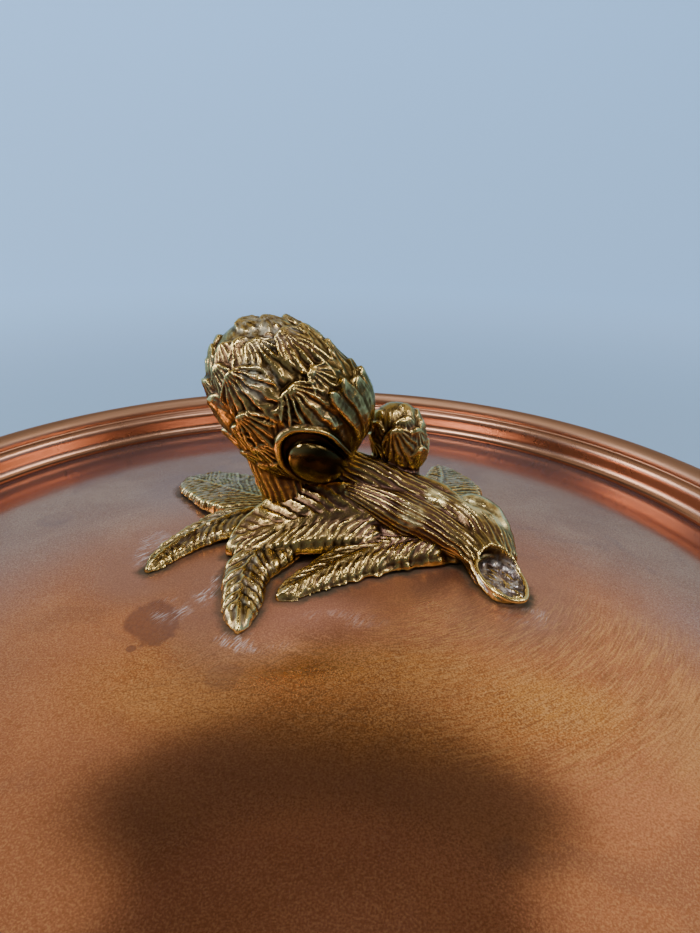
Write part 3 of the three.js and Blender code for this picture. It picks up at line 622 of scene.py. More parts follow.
def build_finial():
    head = [
        artichoke([-5.8, 6.0, 34.2], [-0.63, 0.137, 0.767], 14.7, 20.2, head_bracts(), seed=3, low=0.97,
                  hoods=[(-13.2, -19, 6.9, 9.3, 1.9, 3.0, -14.4, -22, 5.1, 6.5)], swells=[(-9.0, 86, 8.0, 36.0, 2.4), (-12.0, 58, 6.0, 20.0, 0.9)]),
        # neck under the head, down to the leaves
        tube([[-9.5, 3.5, 24.0], [-7.2, 3.4, 17.0], [-5.4, 3.4, 10.0], [-4.0, 3.2, 3.0]], [6.4, 6.2, 6.0, 6.4], flutes=(24, 0.55, 2.3, 0.1), seed=21),
        tube([[4.0, 5.2, 24.0], [4.0, 6.4, 17.0], [4.0, 7.0, 10.0], [4.0, 6.4, 2.0]], [6.0, 5.6, 5.8, 6.4], flutes=(24, 0.55, 2.3, 0.2), seed=22),
    ]
    stem = [
        artichoke([20.9, 13.2, 22.4], [-0.25, 0.10, 0.96], 6.2, 8.9, bud_bracts(), expo=3.0, nphi=320, nz=240, seed=5, grain=0.04, fan=5.2, power=1.8),
        # the broad fluted stem, turning down into the cut end
        tube([[7.0, 6.8, 17.0], [11.0, 5.9, 15.0], [16.0, 5.2, 12.4], [22.0, 4.4, 9.8], [28.0, 3.4, 7.7], [34.0, 1.4, 6.0], [38.4, -2.4, 4.4], [40.8, -7.2, 2.6], [42.0, -12.0, 0.8]],
             [5.2, 6.3, 6.8, 6.4, 6.0, 5.6, 5.2, 4.9, 4.6], squash=0.95, flutes=(24, 0.62, 2.3, 0.30), seed=23, nphi=240, step=0.2),
        # its near side, flat, spreading down to the roots of the leaves
        tube([[9.0, 0.4, 13.6], [13.0, -0.2, 12.4], [17.5, -1.2, 10.8], [22.5, -2.4, 8.9], [27.5, -3.4, 7.0], [32.0, -4.8, 5.2], [36.6, -7.2, 3.6], [40.0, -11.0, 1.9]],
             [3.0, 4.4, 5.5, 5.7, 5.3, 4.8, 4.3, 3.8], squash=0.8, flutes=(22, 0.60, 2.3, 0.5), seed=24, nphi=220, step=0.2),
        # rubbed places on it
        tube([[19.6, -5.0, 11.4], [22.0, -5.8, 10.6], [24.6, -6.5, 9.4], [26.6, -7.1, 8.2]], [0.6, 1.0, 1.0, 0.5], flutes=(7, 0.16, 1.5, 0.3), seed=20, lump=0.08),
        tube([[27.4, 0.4, 12.1], [29.4, 0.1, 11.7], [31.4, -0.5, 10.8]], [0.9, 1.6, 0.9], squash=0.8, lump=0.12, seed=26),
        # side branch that carries the bud
        tube([[16.0, 7.0, 6.0], [19.6, 10.5, 11.0], [21.4, 12.8, 16.5]], [7.0, 6.4, 5.2], flutes=(30, 0.4, 2.6, 0.2), seed=25),
        # smooth sheath along the back of the stem
        tube([[17.0, 8.0, 15.0], [21.0, 7.6, 14.2], [26.5, 7.0, 12.8], [32.0, 5.4, 11.2], [36.4, 3.8, 9.4]], [1.0, 2.0, 2.5, 2.3, 1.0], squash=0.85, lump=0.06, seed=27),
        # knuckle: stub of a side shoot bent over to the right
        tube([[33.6, 5.4, 5.6], [37.2, 6.0, 6.6], [40.9, 4.6, 6.4], [43.8, 0.8, 5.0], [45.2, -4.2, 3.0], [45.6, -8.6, 1.0]],
             [2.8, 4.1, 4.2, 3.5, 2.8, 2.0], squash=0.95, lump=0.16, seed=29),
        tube([[36.0, 2.0, 5.0], [40.0, 0.0, 4.6], [42.4, -4.5, 3.2], [43.8, -9.5, 1.2]], [5.0, 4.8, 4.4, 4.0], flutes=(20, 0.5, 2.3, 0.4), seed=30),
        # from the knuckle round to the cut end
        tube([[33.0, 1.5, 3.4], [37.0, -2.5, 3.2], [40.0, -8.0, 2.0], [41.8, -13.0, 0.4], [43.0, -17.0, -1.0], [43.9, -19.8, -2.2]],
             [5.2, 5.4, 5.4, 5.5, 5.4, 4.6], squash=0.95, flutes=(20, 0.42, 2.2, 0.15), seed=31),
        cut_lip(),
    ]
    stem = [(cut_end(b[0]), b[1], b[2]) for b in stem[:-1]] + [stem[-1]]
    leaves = [
        leaf([[19.0, -5.2], [14.0, -5.0], [7.5, -5.0], [0.7, -5.8], [-4.0, -6.5], [-9.1, -7.0], [-13.5, -7.4], [-19.4, -8.0]], [7.6, 9.2, 9.3, 8.8, 7.8, 6.3, 5.1, 3.8],
             [4.5, 5.2, 4.9, 4.5, 4.5, 4.3, 4.0, 2.4], [2.0, 4.0, 5.0, 5.8, 6.5, 6.8, 5.8, 3.0], tip=0.12, crown=0.4, gap=0.2, edge=0.9, rib=(0.5, 0.34), root=0.12,
             tilt=([-3.0, -3.8, -3.9, -3.5, -2.7, -1.8, -0.9, -0.4], [1.5, 4.6, 6.8, 6.6, 6.0, 6.2, 3.2, 0.6]), barb=((2.4, 2.9), (1.9, 1.9), 0.62), seed=101, lip=(0.12, 0.35),
             scallop=0.05, sides_amp=(0.9, 0.95), under=(0.0, 1.2, 2.0, 2.0, 2.2, 2.8, 2.4, 0.6)),
        leaf([[-9.0, 11.0], [-14.0, 9.0], [-19.0, 6.4], [-24.0, 2.6], [-28.2, -1.4], [-31.6, -5.9], [-34.2, -10.4], [-36.2, -14.4]],
             [3.6, 3.8, 3.6, 3.2, 2.7, 2.2, 1.6, 1.0], [4.0, 5.0, 6.4, 5.6, 4.2, 3.4, 2.6, 1.8], [3.0, 4.0, 5.0, 5.2, 4.6, 3.8, 2.9, 1.8], tip=0.12, crown=0.8,
             tilt=([-0.3, -0.5, -0.5, -0.4, -0.3, -0.2, -0.1, 0.0], 0.0), gap=[0.6, 1.0, 1.2, 0.9, 0.4, 0.2, 0.12, 0.12], edge=1.2, flare=0.35,
             barb=(2.4, 1.6, 0.80), seed=111, scallop=0.12, rib=(0.5, 0.36), sides_amp=(0.55, 1.1), lumpy=0.15, point=(2.2, 0.5)),
        leaf([[-8.6, -5.0], [-10.6, -10.6], [-12.6, -15.6], [-13.3, -20.2], [-13.0, -24.8], [-12.9, -29.2], [-12.5, -33.0], [-12.2, -36.4]],
             [3.4, 3.3, 3.0, 2.7, 2.4, 2.0, 1.5, 0.9], [8.6, 7.2, 6.0, 4.8, 4.6, 4.1, 3.2, 2.4], [8.0, 7.2, 5.8, 5.0, 4.2, 3.8, 3.0, 2.2], tip=0.20, crown=0.9,
             gap=[1.0, 0.8, 0.5, 0.3, 0.2, 0.12, 0.12, 0.12], edge=1.7, flare=0.35, barb=(2.7, 1.15, 0.95), style=0.45, rib=(0.5, 0.36), seed=121,
             fade=(0.0, 0.86), scallop=0.05, point=(2.2, 0.55), lumpy=0.15),
        leaf([[37.0, -4.0], [31.0, -5.7], [25.0, -7.0], [19.5, -8.6], [14.5, -10.9], [9.5, -13.8], [5.0, -17.0], [1.0, -20.2], [-2.5, -23.0], [-5.9, -25.5]],
             [4.2, 5.2, 5.8, 5.4, 4.6, 3.8, 3.1, 2.5, 1.9, 1.3], [3.0, 3.4, 4.6, 4.9, 4.7, 4.4, 3.9, 3.1, 2.4, 1.7], [3.0, 4.6, 6.0, 6.6, 6.6, 6.2, 5.7, 5.1, 4.0, 2.6],
             tip=0.10, crown=0.5, tilt=([-0.6, -1.2, -1.4, -1.3, -1.2, -1.0, -0.8, -0.5, -0.2, 0.0], [0.8, 1.8, 2.4, 2.2, 1.5, 0.7, 0.3, 0.1, 0, 0]),
             gap=[0.3, 0.5, 0.6, 0.7, 0.6, 0.5, 0.5, 0.4, 0.3, 0.15], edge=2.2, flare=0.6, barb=((2.6, 2.5), 2.3, 0.62), style=0.25, seed=131, lip=(0.0, 0.4), scallop=0.04,
             rib=(0.6, 0.22), sides_amp=(0.8, 1.1), lumpy=0.5, root=0.1, point=(2.2, 0.55)),
        leaf([[-8.5, 9.0], [-14.0, 14.0], [-20.5, 19.8], [-26.0, 25.0], [-31.0, 29.6], [-35.0, 33.6], [-39.2, 38.4]], [4.8, 4.7, 4.2, 3.6, 3.1, 2.6, 2.0],
             [3.0, 6.0, 8.6, 8.8, 7.0, 5.4, 3.0], [4.4, 8.6, 10.9, 11.6, 10.8, 9.0, 5.4], tip=0.16, crown=0.5, tilt=(-0.6, 0.4),
             gap=[0.3, 0.5, 0.6, 0.6, 0.5, 0.4, 0.3], edge=1.0, flare=0.3, barb=(2.0, 1.9, 0.36), seed=141, grain=0.10, scallop=0.05, rib=(0.5, 0.2), lumpy=0.2),
        leaf([[27.0, 8.0], [30.5, 14.5], [33.2, 22.0], [34.8, 30.0], [35.6, 38.0], [35.8, 45.0], [35.8, 50.0]], [6.2, 6.4, 6.0, 5.4, 4.8, 4.2, 3.6],
             [4.0, 6.0, 6.4, 5.4, 4.4, 2.8, 1.2], [6.5, 9.8, 11.4, 11.2, 9.4, 6.2, 2.6], tip=0.2, crown=0.5, gap=[0.6, 1.4, 2.0, 2.2, 2.2, 2.0, 1.8],
             edge=0.8, barb=(2.2, 1.3, 0.5), seed=151, scallop=0.12, rib=(0.5, 0.3), tilt=(0.0, -0.5)),
        # metal under the leaves and the stem
        tube([[-8.0, 0.6, 2.0], [0.0, -0.4, 3.4], [8.0, -0.8, 4.2], [18.0, -2.0, 3.6], [28.0, -3.2, 2.6], [37.0, -4.0, 1.4]], [4.8, 5.8, 6.4, 6.2, 5.8, 5.0], squash=0.8, lump=0.15, seed=33),
    ]
    return [casting("finial_head", head), casting("finial_stem", stem), casting("finial_leaves", leaves)]


finial = build_finial()


# ------------------------------------------------------------------ sheet metal pieces
def arc_pts(c, r, a0, a1, n):
    t = np.radians(np.linspace(a0, a1, n + 1))
    return [(c[0] + r * math.cos(x), c[1] + r * math.sin(x)) for x in t]


def line_pts(p, q, n):
    return [(p[0] + (q[0] - p[0]) * k / n, p[1] + (q[1] - p[1]) * k / n) for k in range(1, n + 1)]


def bez_pts(p, c, q, n):
    out = []
    for k in range(1, n + 1):
        t = k / n
        out.append(tuple((1 - t) ** 2 * np.array(p) + 2 * t * (1 - t) * np.array(c) + t * t * np.array(q)))
    return out


def turned(name, profile, segments, lift=0.0, wave=None):
    """Turned sheet from an open (r, z) profile that starts and ends on the axis."""
    prof = np.asarray(profile, float)
    a = np.arange(segments) / segments * 2 * math.pi
    inner = prof[1:-1]
    rings = np.stack([np.outer(inner[:, 0], np.cos(a)), np.outer(inner[:, 0], np.sin(a)), np.tile(inner[:, 1][:, None], (1, segments))], -1)
    if wave is not None:
        rings = wave(rings)
    body = grid_body(rings, (0, 0, prof[0, 1]), (0, 0, prof[-1, 1]))
    return mesh_object(name, body, lift)


def lid_profile():
    tan_r = LID_WALL_RI - FILLET_R
    slope = math.degrees(math.asin(tan_r / (DOME_R + FILLET_R)))
    fc = (tan_r, DOME_TOP - DOME_R + (DOME_R + FILLET_R) * math.cos(math.radians(slope)))
    r_end = fc[0] + FILLET_R * math.cos(math.radians(-90 - slope))
    rs = list(np.linspace(0, r_end, 104)[1:-1])
    under_end = fc[0] + (FILLET_R + LID_T) * math.cos(math.radians(270 - slope))
    ru = list(np.linspace(0, under_end, 40)[1:-1])
    # under side, axis outward
    p = [(0.0, float(dome(0, 0)) - LID_T)]
    p += [(r, float(dome(r, 0)) - LID_T) for r in ru]
    p += arc_pts(fc, FILLET_R + LID_T, 270 - slope, 360, 8)
    wall_o = LID_WALL_RI + LID_T
    p += line_pts(p[-1], (wall_o, -7.2), 4)
    j = arc_pts(LID_BEAD, BEAD_R - BEAD_T, 206, 206, 1)[0]
    p += bez_pts((wall_o, -7.2), (wall_o + 0.2, -4.9), j, 6)
    p += arc_pts(LID_BEAD, BEAD_R - BEAD_T, 206, -100, 26)[1:]
    p += arc_pts(LID_BEAD, BEAD_R, -100, 196, 40)
    e = p[-1]
    p += bez_pts(e, (LID_WALL_RI + 0.1, -4.6), (LID_WALL_RI, -6.9), 7)
    p += line_pts((LID_WALL_RI, -6.9), (LID_WALL_RI, fc[1]), 4)
    p += arc_pts(fc, FILLET_R, 0, -90 - slope, 12)[1:]
    p += [(r, float(dome(r, 0))) for r in rs[::-1]]
    p += [(0.0, float(dome(0, 0)))]
    return p


def pot_profile():
    co = (POT_RO - CORNER_R, CORNER_R)
    ri = CORNER_R - POT_WALL
    p = [(0.0, 0.0)]
    p += [(r, 0.0) for r in np.linspace(0, co[0], 24)[1:-1]]
    p += arc_pts(co, CORNER_R, -90, 0, 14)
    zj = POT_BEAD[1] - math.sqrt((BEAD_R - BEAD_T) ** 2 - (POT_BEAD[0] - POT_RO) ** 2)
    p += line_pts(p[-1], (POT_RO, zj), 40)
    p += arc_pts(POT_BEAD, BEAD_R - BEAD_T, 230, -98, 26)[1:]
    p += arc_pts(POT_BEAD, BEAD_R, -98, 180, 36)
    p += line_pts(p[-1], (POT_RI, CORNER_R), 40)
    p += arc_pts(co, ri, 0, -90, 12)[1:]
    p += [(r, POT_WALL) for r in np.linspace(co[0], 0, 24)[1:-1]]
    p += [(0.0, POT_WALL)]
    return p


def hand_spun(amount, seed):
    """Very slight unevenness of spun sheet, the same through its thickness."""
    def f(rings):
        x, y, z = rings[..., 0], rings[..., 1], rings[..., 2]
        r = np.hypot(x, y)
        k = np.clip(r / 20.0, 0, 1)
        d = amount * rough(x, y, 60.0, seed) + amount * 0.4 * rough(x, y, 24.0, seed + 1)
        out = rings.copy()
        out[..., 2] = z + d * k * np.clip((118.0 - r) / 8.0, 0, 1)
        return out
    return f


lid = turned("lid_sheet", lid_profile(), 320, LID_Z)
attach(lid, "lid")
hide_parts("lid_shell")


def footprint(ob, far=24.0):
    """Distance in mm from each point of the lid to the casting's edge where it sits on the dome."""
    co = np.vstack([coords(ob.data) for ob in finial]) / MM
    co[:, 2] -= LID_Z
    low = co[co[:, 2] < dome(co[:, 0], co[:, 1]) + 1.6]
    low = low[RNG.permutation(len(low))[:9000]]
    kd = KDTree(len(low))
    for i, p in enumerate(low):
        kd.insert((p[0], p[1], 0.0), i)
    kd.balance()
    lc = coords(ob.data) / MM
    out = np.full(len(lc), far)
    near = np.hypot(lc[:, 0] - 5, lc[:, 1] - 5) < 78
    for i in np.nonzero(near)[0]:
        out[i] = min(far, kd.find((lc[i, 0], lc[i, 1], 0.0))[2])
    return out


def top_side(me, z_ref):
    """1 on the outer face of the sheet, 0 on the tinned face."""
    return (normals(me)[:, 2] > z_ref).astype(float)


attribute(lid.data, "near_cast", footprint(lid) / 24.0)

vessel = turned("pot_sheet", pot_profile(), 256, 0.0)
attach(vessel, "pot")
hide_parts("pot_body")


# ------------------------------------------------------------------ handles, rivets, fixings
def pad_body(sign, side):
    """Cast pad, oval with a soft edge, following the wall behind it."""
    out = np.array([math.cos(PAD_ANG) * sign, math.sin(PAD_ANG) * side, 0.0])
    up = np.array([0, 0, 1.0])
    ac = np.cross(up, out)
    n = 72
    a = np.arange(n) / n * 2 * math.pi
    k = 1 - 0.12 * np.cos(2 * a)
    ox = 15.0 * np.sin(a) * (0.94 + 0.06 * k)
    oz = 21.0 * np.cos(a)

    def loop(f, depth, wall=False):
        x, z = ox * f, oz * f
        o = np.sqrt(np.maximum((POT_RO + 0.3) ** 2 - x ** 2, 0)) if wall else np.full(n, POT_RO + depth)
        return out * o[:, None] + ac * x[:, None] + up * (PAD_Z + z)[:, None]

    edge_r = 1.3
    rings = [loop(f, 0, True) for f in (0.15, 0.45, 0.75, 0.97)]
    base = loop(1.0, 0, True)
    rings.append(base * 1.0 + out * 0.3)
    for t in np.linspace(0, math.pi / 2, 7):
        rings.append(loop(1.0 - (edge_r / 15.0) * (1 - math.cos(t)), PAD_T - edge_r + edge_r * math.sin(t)))
    rings += [loop(f, PAD_T + 0.02 * (1 - f)) for f in (0.82, 0.6, 0.35, 0.12)]
    return grid_body(np.array(rings))


def grip_body(sign):
    u = (math.cos(PAD_ANG), math.sin(PAD_ANG))
    half = [[u[0] * 127.6, u[1] * 127.6, PAD_Z], [u[0] * 131.5, u[1] * 131.5, PAD_Z + 0.3], [u[0] * 136.0, u[1] * 136.0, PAD_Z + 1.0],
            [138.5, 60.6, PAD_Z + 2.4], [152.0, 54.0, GRIP_Z - 1.6], [164.0, 38.0, GRIP_Z - 0.4], [170.6, 19.0, GRIP_Z], [GRIP_OUT, 0, GRIP_Z]]
    full = half + [[x, -y, z] for x, y, z in half[:-1][::-1]]
    pts = [[x * sign, y, z] for x, y, z in full]
    n, nphi = 170, 48
    c, length = catmull(pts, n)
    s = np.linspace(0, 1, n)
    d, side, up = frames(c)
    m = np.abs(s - 0.5) * 2
    # thick in the hand, waisted, then spreading onto the pads
    R = 5.55 - 0.9 * np.exp(-((m - 0.72) / 0.14) ** 2) + 4.2 * np.clip((m - 0.93) / 0.07, 0, 1) ** 1.6
    R = R + 0.35 * np.exp(-((m - 0.56) / 0.018) ** 2) + 0.25 * np.exp(-((m - 0.61) / 0.014) ** 2)
    a = np.arange(nphi) / nphi * 2 * math.pi
    ca, sa = np.cos(a), np.sin(a)
    rings = c[:, None, :] + side[:, None, :] * (R[:, None] * 0.92 * ca)[..., None] + up[:, None, :] * (R[:, None] * 1.0 * sa)[..., None]
    return grid_body(rings)


def build_handle(sign, name, node):
    bodies = [pad_body(sign, -1), pad_body(sign, 1), grip_body(sign)]
    ob = mesh_object(name, join(bodies))
    md = ob.modifiers.new("union", "REMESH")
    md.mode = "VOXEL"
    md.voxel_size = 0.0009
    evaluated(ob, name)
    me = ob.data
    e = edges(me)
    cnt = np.maximum(np.bincount(e.ravel(), minlength=len(me.vertices)).astype(float), 1)
    co = coords(me)
    co = relax(co, e, cnt, 5, 0.5)
    r = np.hypot(co[:, 0], co[:, 1])
    wall = (POT_RO + 0.3) * MM
    k = np.where(r < wall, wall / r, 1.0)
    co[:, 0] *= k
    co[:, 1] *= k
    me.vertices.foreach_set("co", co.astype(np.float32).ravel())
    me.polygons.foreach_set("use_smooth", np.ones(len(me.polygons), bool))
    me.update()
    no = normals(me)
    wide = relax(co, e, cnt, 24)
    attribute(me, "ridge_wide", np.clip(0.5 + 0.5 * np.einsum("ij,ij->i", co - wide, no) / (0.35 * MM), 0, 1))
    attribute(me, "ridge_fine", np.full(len(co), 0.5))
    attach(ob, "pot")
    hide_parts(node)
    return ob


handles = [build_handle(-1, "handle_left_casting", "handle_left"), build_handle(1, "handle_right_casting", "handle_right")]


def turned_on(profile, at, direction, segments=40, dents=0.0, seed=0):
    prof = np.asarray(profile, float)
    dvec = np.asarray(direction, float)
    dvec = dvec / np.linalg.norm(dvec)
    ref = np.array([0, 0, 1.0]) if abs(dvec[2]) < 0.9 else np.array([1.0, 0, 0])
    e1 = np.cross(ref, dvec)
    e1 /= np.linalg.norm(e1)
    e2 = np.cross(dvec, e1)
    a = np.arange(segments) / segments * 2 * math.pi
    inner = prof[1:-1]
    R = np.tile(inner[:, :1], (1, segments))
    Z = np.tile(inner[:, 1:], (1, segments))
    if dents:
        A = np.tile(a, (len(inner), 1))
        Z = Z + dents * rough(R * np.cos(A), R * np.sin(A), 4.0, seed) * (Z > prof[:, 1].max() * 0.5)
    rings = np.asarray(at) + (R * np.cos(a))[..., None] * e1 + (R * np.sin(a))[..., None] * e2 + Z[..., None] * dvec
    return grid_body(rings, np.asarray(at) + dvec * prof[0, 1], np.asarray(at) + dvec * prof[-1, 1])


def fine(profile, n=3):
    """Adds points between a profile's points so that its corners stay put and its faces stay even."""
    p = np.asarray(profile, float)
    out = [p[0]]
    for a, b in zip(p[:-1], p[1:]):
        out += [a + (b - a) * k / n for k in range(1, n + 1)]
    return np.array(out)


rivets = []
inner = POT_RI * math.cos(math.pi / 48) - GAP - POT_RO
outer = PAD_T + GAP
dome_out = [(5.6 * math.cos(t), outer + 0.35 + 2.65 * math.sin(t)) for t in np.linspace(0, math.pi / 2 - 0.08, 10)]
dome_in = [(4.9 * math.cos(t), inner - 0.15 - 1.15 * math.sin(t)) for t in np.linspace(math.pi / 2 - 0.08, 0, 7)]
rivet_profile = ([(0, inner - 1.3)] + dome_in + [(4.9, inner), (RIVET_R + 0.1, inner), (RIVET_R, inner + 0.1), (RIVET_R, outer - 0.1), (RIVET_R + 0.1, outer), (5.6, outer)]
                 + dome_out + [(0, outer + 3.0)])
for sign in (-1, 1):
    n = 0
    for side in (-1, 1):
        for dz in (-RIVET_DZ, RIVET_DZ):
            n += 1
            hand = "left" if sign < 0 else "right"
            d = np.array([math.cos(PAD_ANG) * sign, math.sin(PAD_ANG) * side, 0])
            body = turned_on(rivet_profile, d * POT_RO + np.array([0, 0, PAD_Z + dz]), d, 48, 0.12, 40 + n)
            ob = mesh_object(f"{hand}_rivet_{n}", body)
            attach(ob, "pot")
            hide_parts(f"{hand}_handle_rivet_{n}")
            rivets.append(ob)

fixings = []
for i, (x, y) in enumerate(SCREWS):
    rr = math.hypot(x, y)
    under = float(dome(rr + 5.2, 0)) - LID_T - GAP
    r0, r1 = SCREW_R + GAP, 5.0
    sec = [(r0 + 0.1, under), (r1 - 0.15, under), (r1, under - 0.15), (r1, under - 0.85), (r1 - 0.15, under - 1.0), (r0 + 0.1, under - 1.0), (r0, under - 0.9), (r0, under - 0.1)]
    v, q, t = ring_body(sec, 56)
    v[:, 0] += x
    v[:, 1] += y
    w = mesh_object(f"washer_{i + 1}", (v, q, t), LID_Z)
    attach(w, "lid")
    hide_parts(f"finial_washer_{i + 1}")
    head = under - 1.0 - GAP
    top = float(dome(rr, 0)) + 4.6
    prof = [(0, head - 2.4)] + [(4.0 * math.sin(t), head - 1.1 - 1.3 * math.cos(t)) for t in np.linspace(0.12, math.pi / 2, 9)] \
        + [(4.0, head - 0.1), (3.9, head), (SCREW_R + 0.1, head), (SCREW_R, head + 0.1)] \
        + [(SCREW_R - 0.18 * (k % 2), head + 0.4 + k * 0.35) for k in range(int((top - 0.9 - head) / 0.35))] + [(SCREW_R - 0.6, top), (0, top)]
    v, q, t = turned_on(prof, (x, y, 0), (0, 0, 1), 64)
    # driver slot across the head
    ang = 0.6 + 1.1 * i
    px, py = v[:, 0] - x, v[:, 1] - y
    acr = np.abs(px * math.cos(ang) + py * math.sin(ang))
    slot_in = (v[:, 2] < head - 0.5) & (acr < 0.62)
    v[slot_in, 2] = np.maximum(v[slot_in, 2], head - 1.25)
    s = mesh_object(f"screw_{i + 1}", (v, q, t), LID_Z)
    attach(s, "lid")
    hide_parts(f"finial_screw_{i + 1}")
    fixings += [w, s]


# ------------------------------------------------------------------ materials
def lin(r, g, b):
    def f(c):
        c /= 255.0
        return c / 12.92 if c <= 0.04045 else ((c + 0.055) / 1.055) ** 2.4
    return (f(r), f(g), f(b), 1.0)


class Nodes:
    def __init__(self, name):
        self.mat = bpy.data.materials.new(name)
        self.mat.use_nodes = True
        self.t = self.mat.node_tree
        self.t.nodes.clear()
        self.out = self.t.nodes.new("ShaderNodeOutputMaterial")
        self.bsdf = self.t.nodes.new("ShaderNodeBsdfPrincipled")
        self.t.links.new(self.bsdf.outputs[0], self.out.inputs[0])

    def put(self, node, key, val):
        sock = node.inputs[key]
        if isinstance(val, bpy.types.NodeSocket):
            self.t.links.new(val, sock)
        elif val is not None:
            sock.default_value = val

    def node(self, kind, ins=None, **props):
        n = self.t.nodes.new(kind)
        for k, v in props.items():
            setattr(n, k, v)
        for k, v in (ins or {}).items():
            self.put(n, k, v)
        return n

    def math(self, op, a, b=None, clamp=False):
        n = self.node("ShaderNodeMath", {0: a}, operation=op, use_clamp=clamp)
        if b is not None:
            self.put(n, 1, b)
        return n.outputs[0]

    def mix(self, fac, a, b, blend="MIX"):
        n = self.node("ShaderNodeMix", data_type="RGBA", blend_type=blend)
        self.put(n, 0, fac)
        self.put(n, 6, a)
        self.put(n, 7, b)
        return n.outputs[2]

    def lerp(self, fac, a, b):
        n = self.node("ShaderNodeMix", data_type="FLOAT")
        self.put(n, 0, fac)
        self.put(n, 2, a)
        self.put(n, 3, b)
        return n.outputs[0]

    def noise(self, vec, scale, detail=3.0, rough_=0.55, dist=0.0, dims="3D"):
        return self.node("ShaderNodeTexNoise", {"Vector": vec, "Scale": scale, "Detail": detail, "Roughness": rough_, "Distortion": dist},
                         noise_dimensions=dims).outputs["Fac"]

    def step(self, val, lo, hi):
        return self.node("ShaderNodeMapRange", {"Value": val, "From Min": lo, "From Max": hi, "To Min": 0.0, "To Max": 1.0},
                         interpolation_type="SMOOTHSTEP").outputs[0]

    def range(self, val, lo, hi, a, b):
        return self.node("ShaderNodeMapRange", {"Value": val, "From Min": lo, "From Max": hi, "To Min": a, "To Max": b}).outputs[0]

    def ramp(self, val, stops):
        n = self.node("ShaderNodeValToRGB", {"Fac": val})
        el = n.color_ramp.elements
        while len(el) < len(stops):
            el.new(0.5)
        for e, (p, c) in zip(el, stops):
            e.position = p
            e.color = c
        return n.outputs["Color"]

    def position(self):
        return self.node("ShaderNodeTexCoord").outputs["Object"]

    def split(self, vec):
        return self.node("ShaderNodeSeparateXYZ", {0: vec}).outputs

    def vec(self, x, y, z):
        return self.node("ShaderNodeCombineXYZ", {0: x, 1: y, 2: z}).outputs[0]

    def attr(self, name):
        return self.node("ShaderNodeAttribute", attribute_name=name).outputs["Fac"]

    def bump(self, height, strength, distance, normal=None):
        n = self.node("ShaderNodeBump", {"Height": height, "Strength": strength, "Distance": distance})
        if normal is not None:
            self.put(n, "Normal", normal)
        return n.outputs[0]

    def arcs(self, pos, centre, fine_, coarse, seed):
        """Fine scratches that run round a centre: noise stretched along the arc."""
        x, y, _ = self.split(pos)
        dx, dy = self.math("SUBTRACT", x, centre[0]), self.math("SUBTRACT", y, centre[1])
        rad = self.math("SQRT", self.math("ADD", self.math("MULTIPLY", dx, dx), self.math("MULTIPLY", dy, dy)))
        ang = self.math("ARCTAN2", dy, dx)
        v = self.vec(self.math("MULTIPLY", rad, fine_), self.math("MULTIPLY", ang, coarse), seed)
        return self.noise(v, 1.0, 2.0, 0.6)

    def strokes(self, pos, angle, fine_, coarse, seed):
        """Straight scratches along one direction."""
        x, y, _ = self.split(pos)
        c, s = math.cos(angle), math.sin(angle)
        u = self.math("ADD", self.math("MULTIPLY", x, c), self.math("MULTIPLY", y, s))
        w = self.math("SUBTRACT", self.math("MULTIPLY", y, c), self.math("MULTIPLY", x, s))
        v = self.vec(self.math("MULTIPLY", u, coarse), self.math("MULTIPLY", w, fine_), seed)
        return self.noise(v, 1.0, 2.0, 0.6)


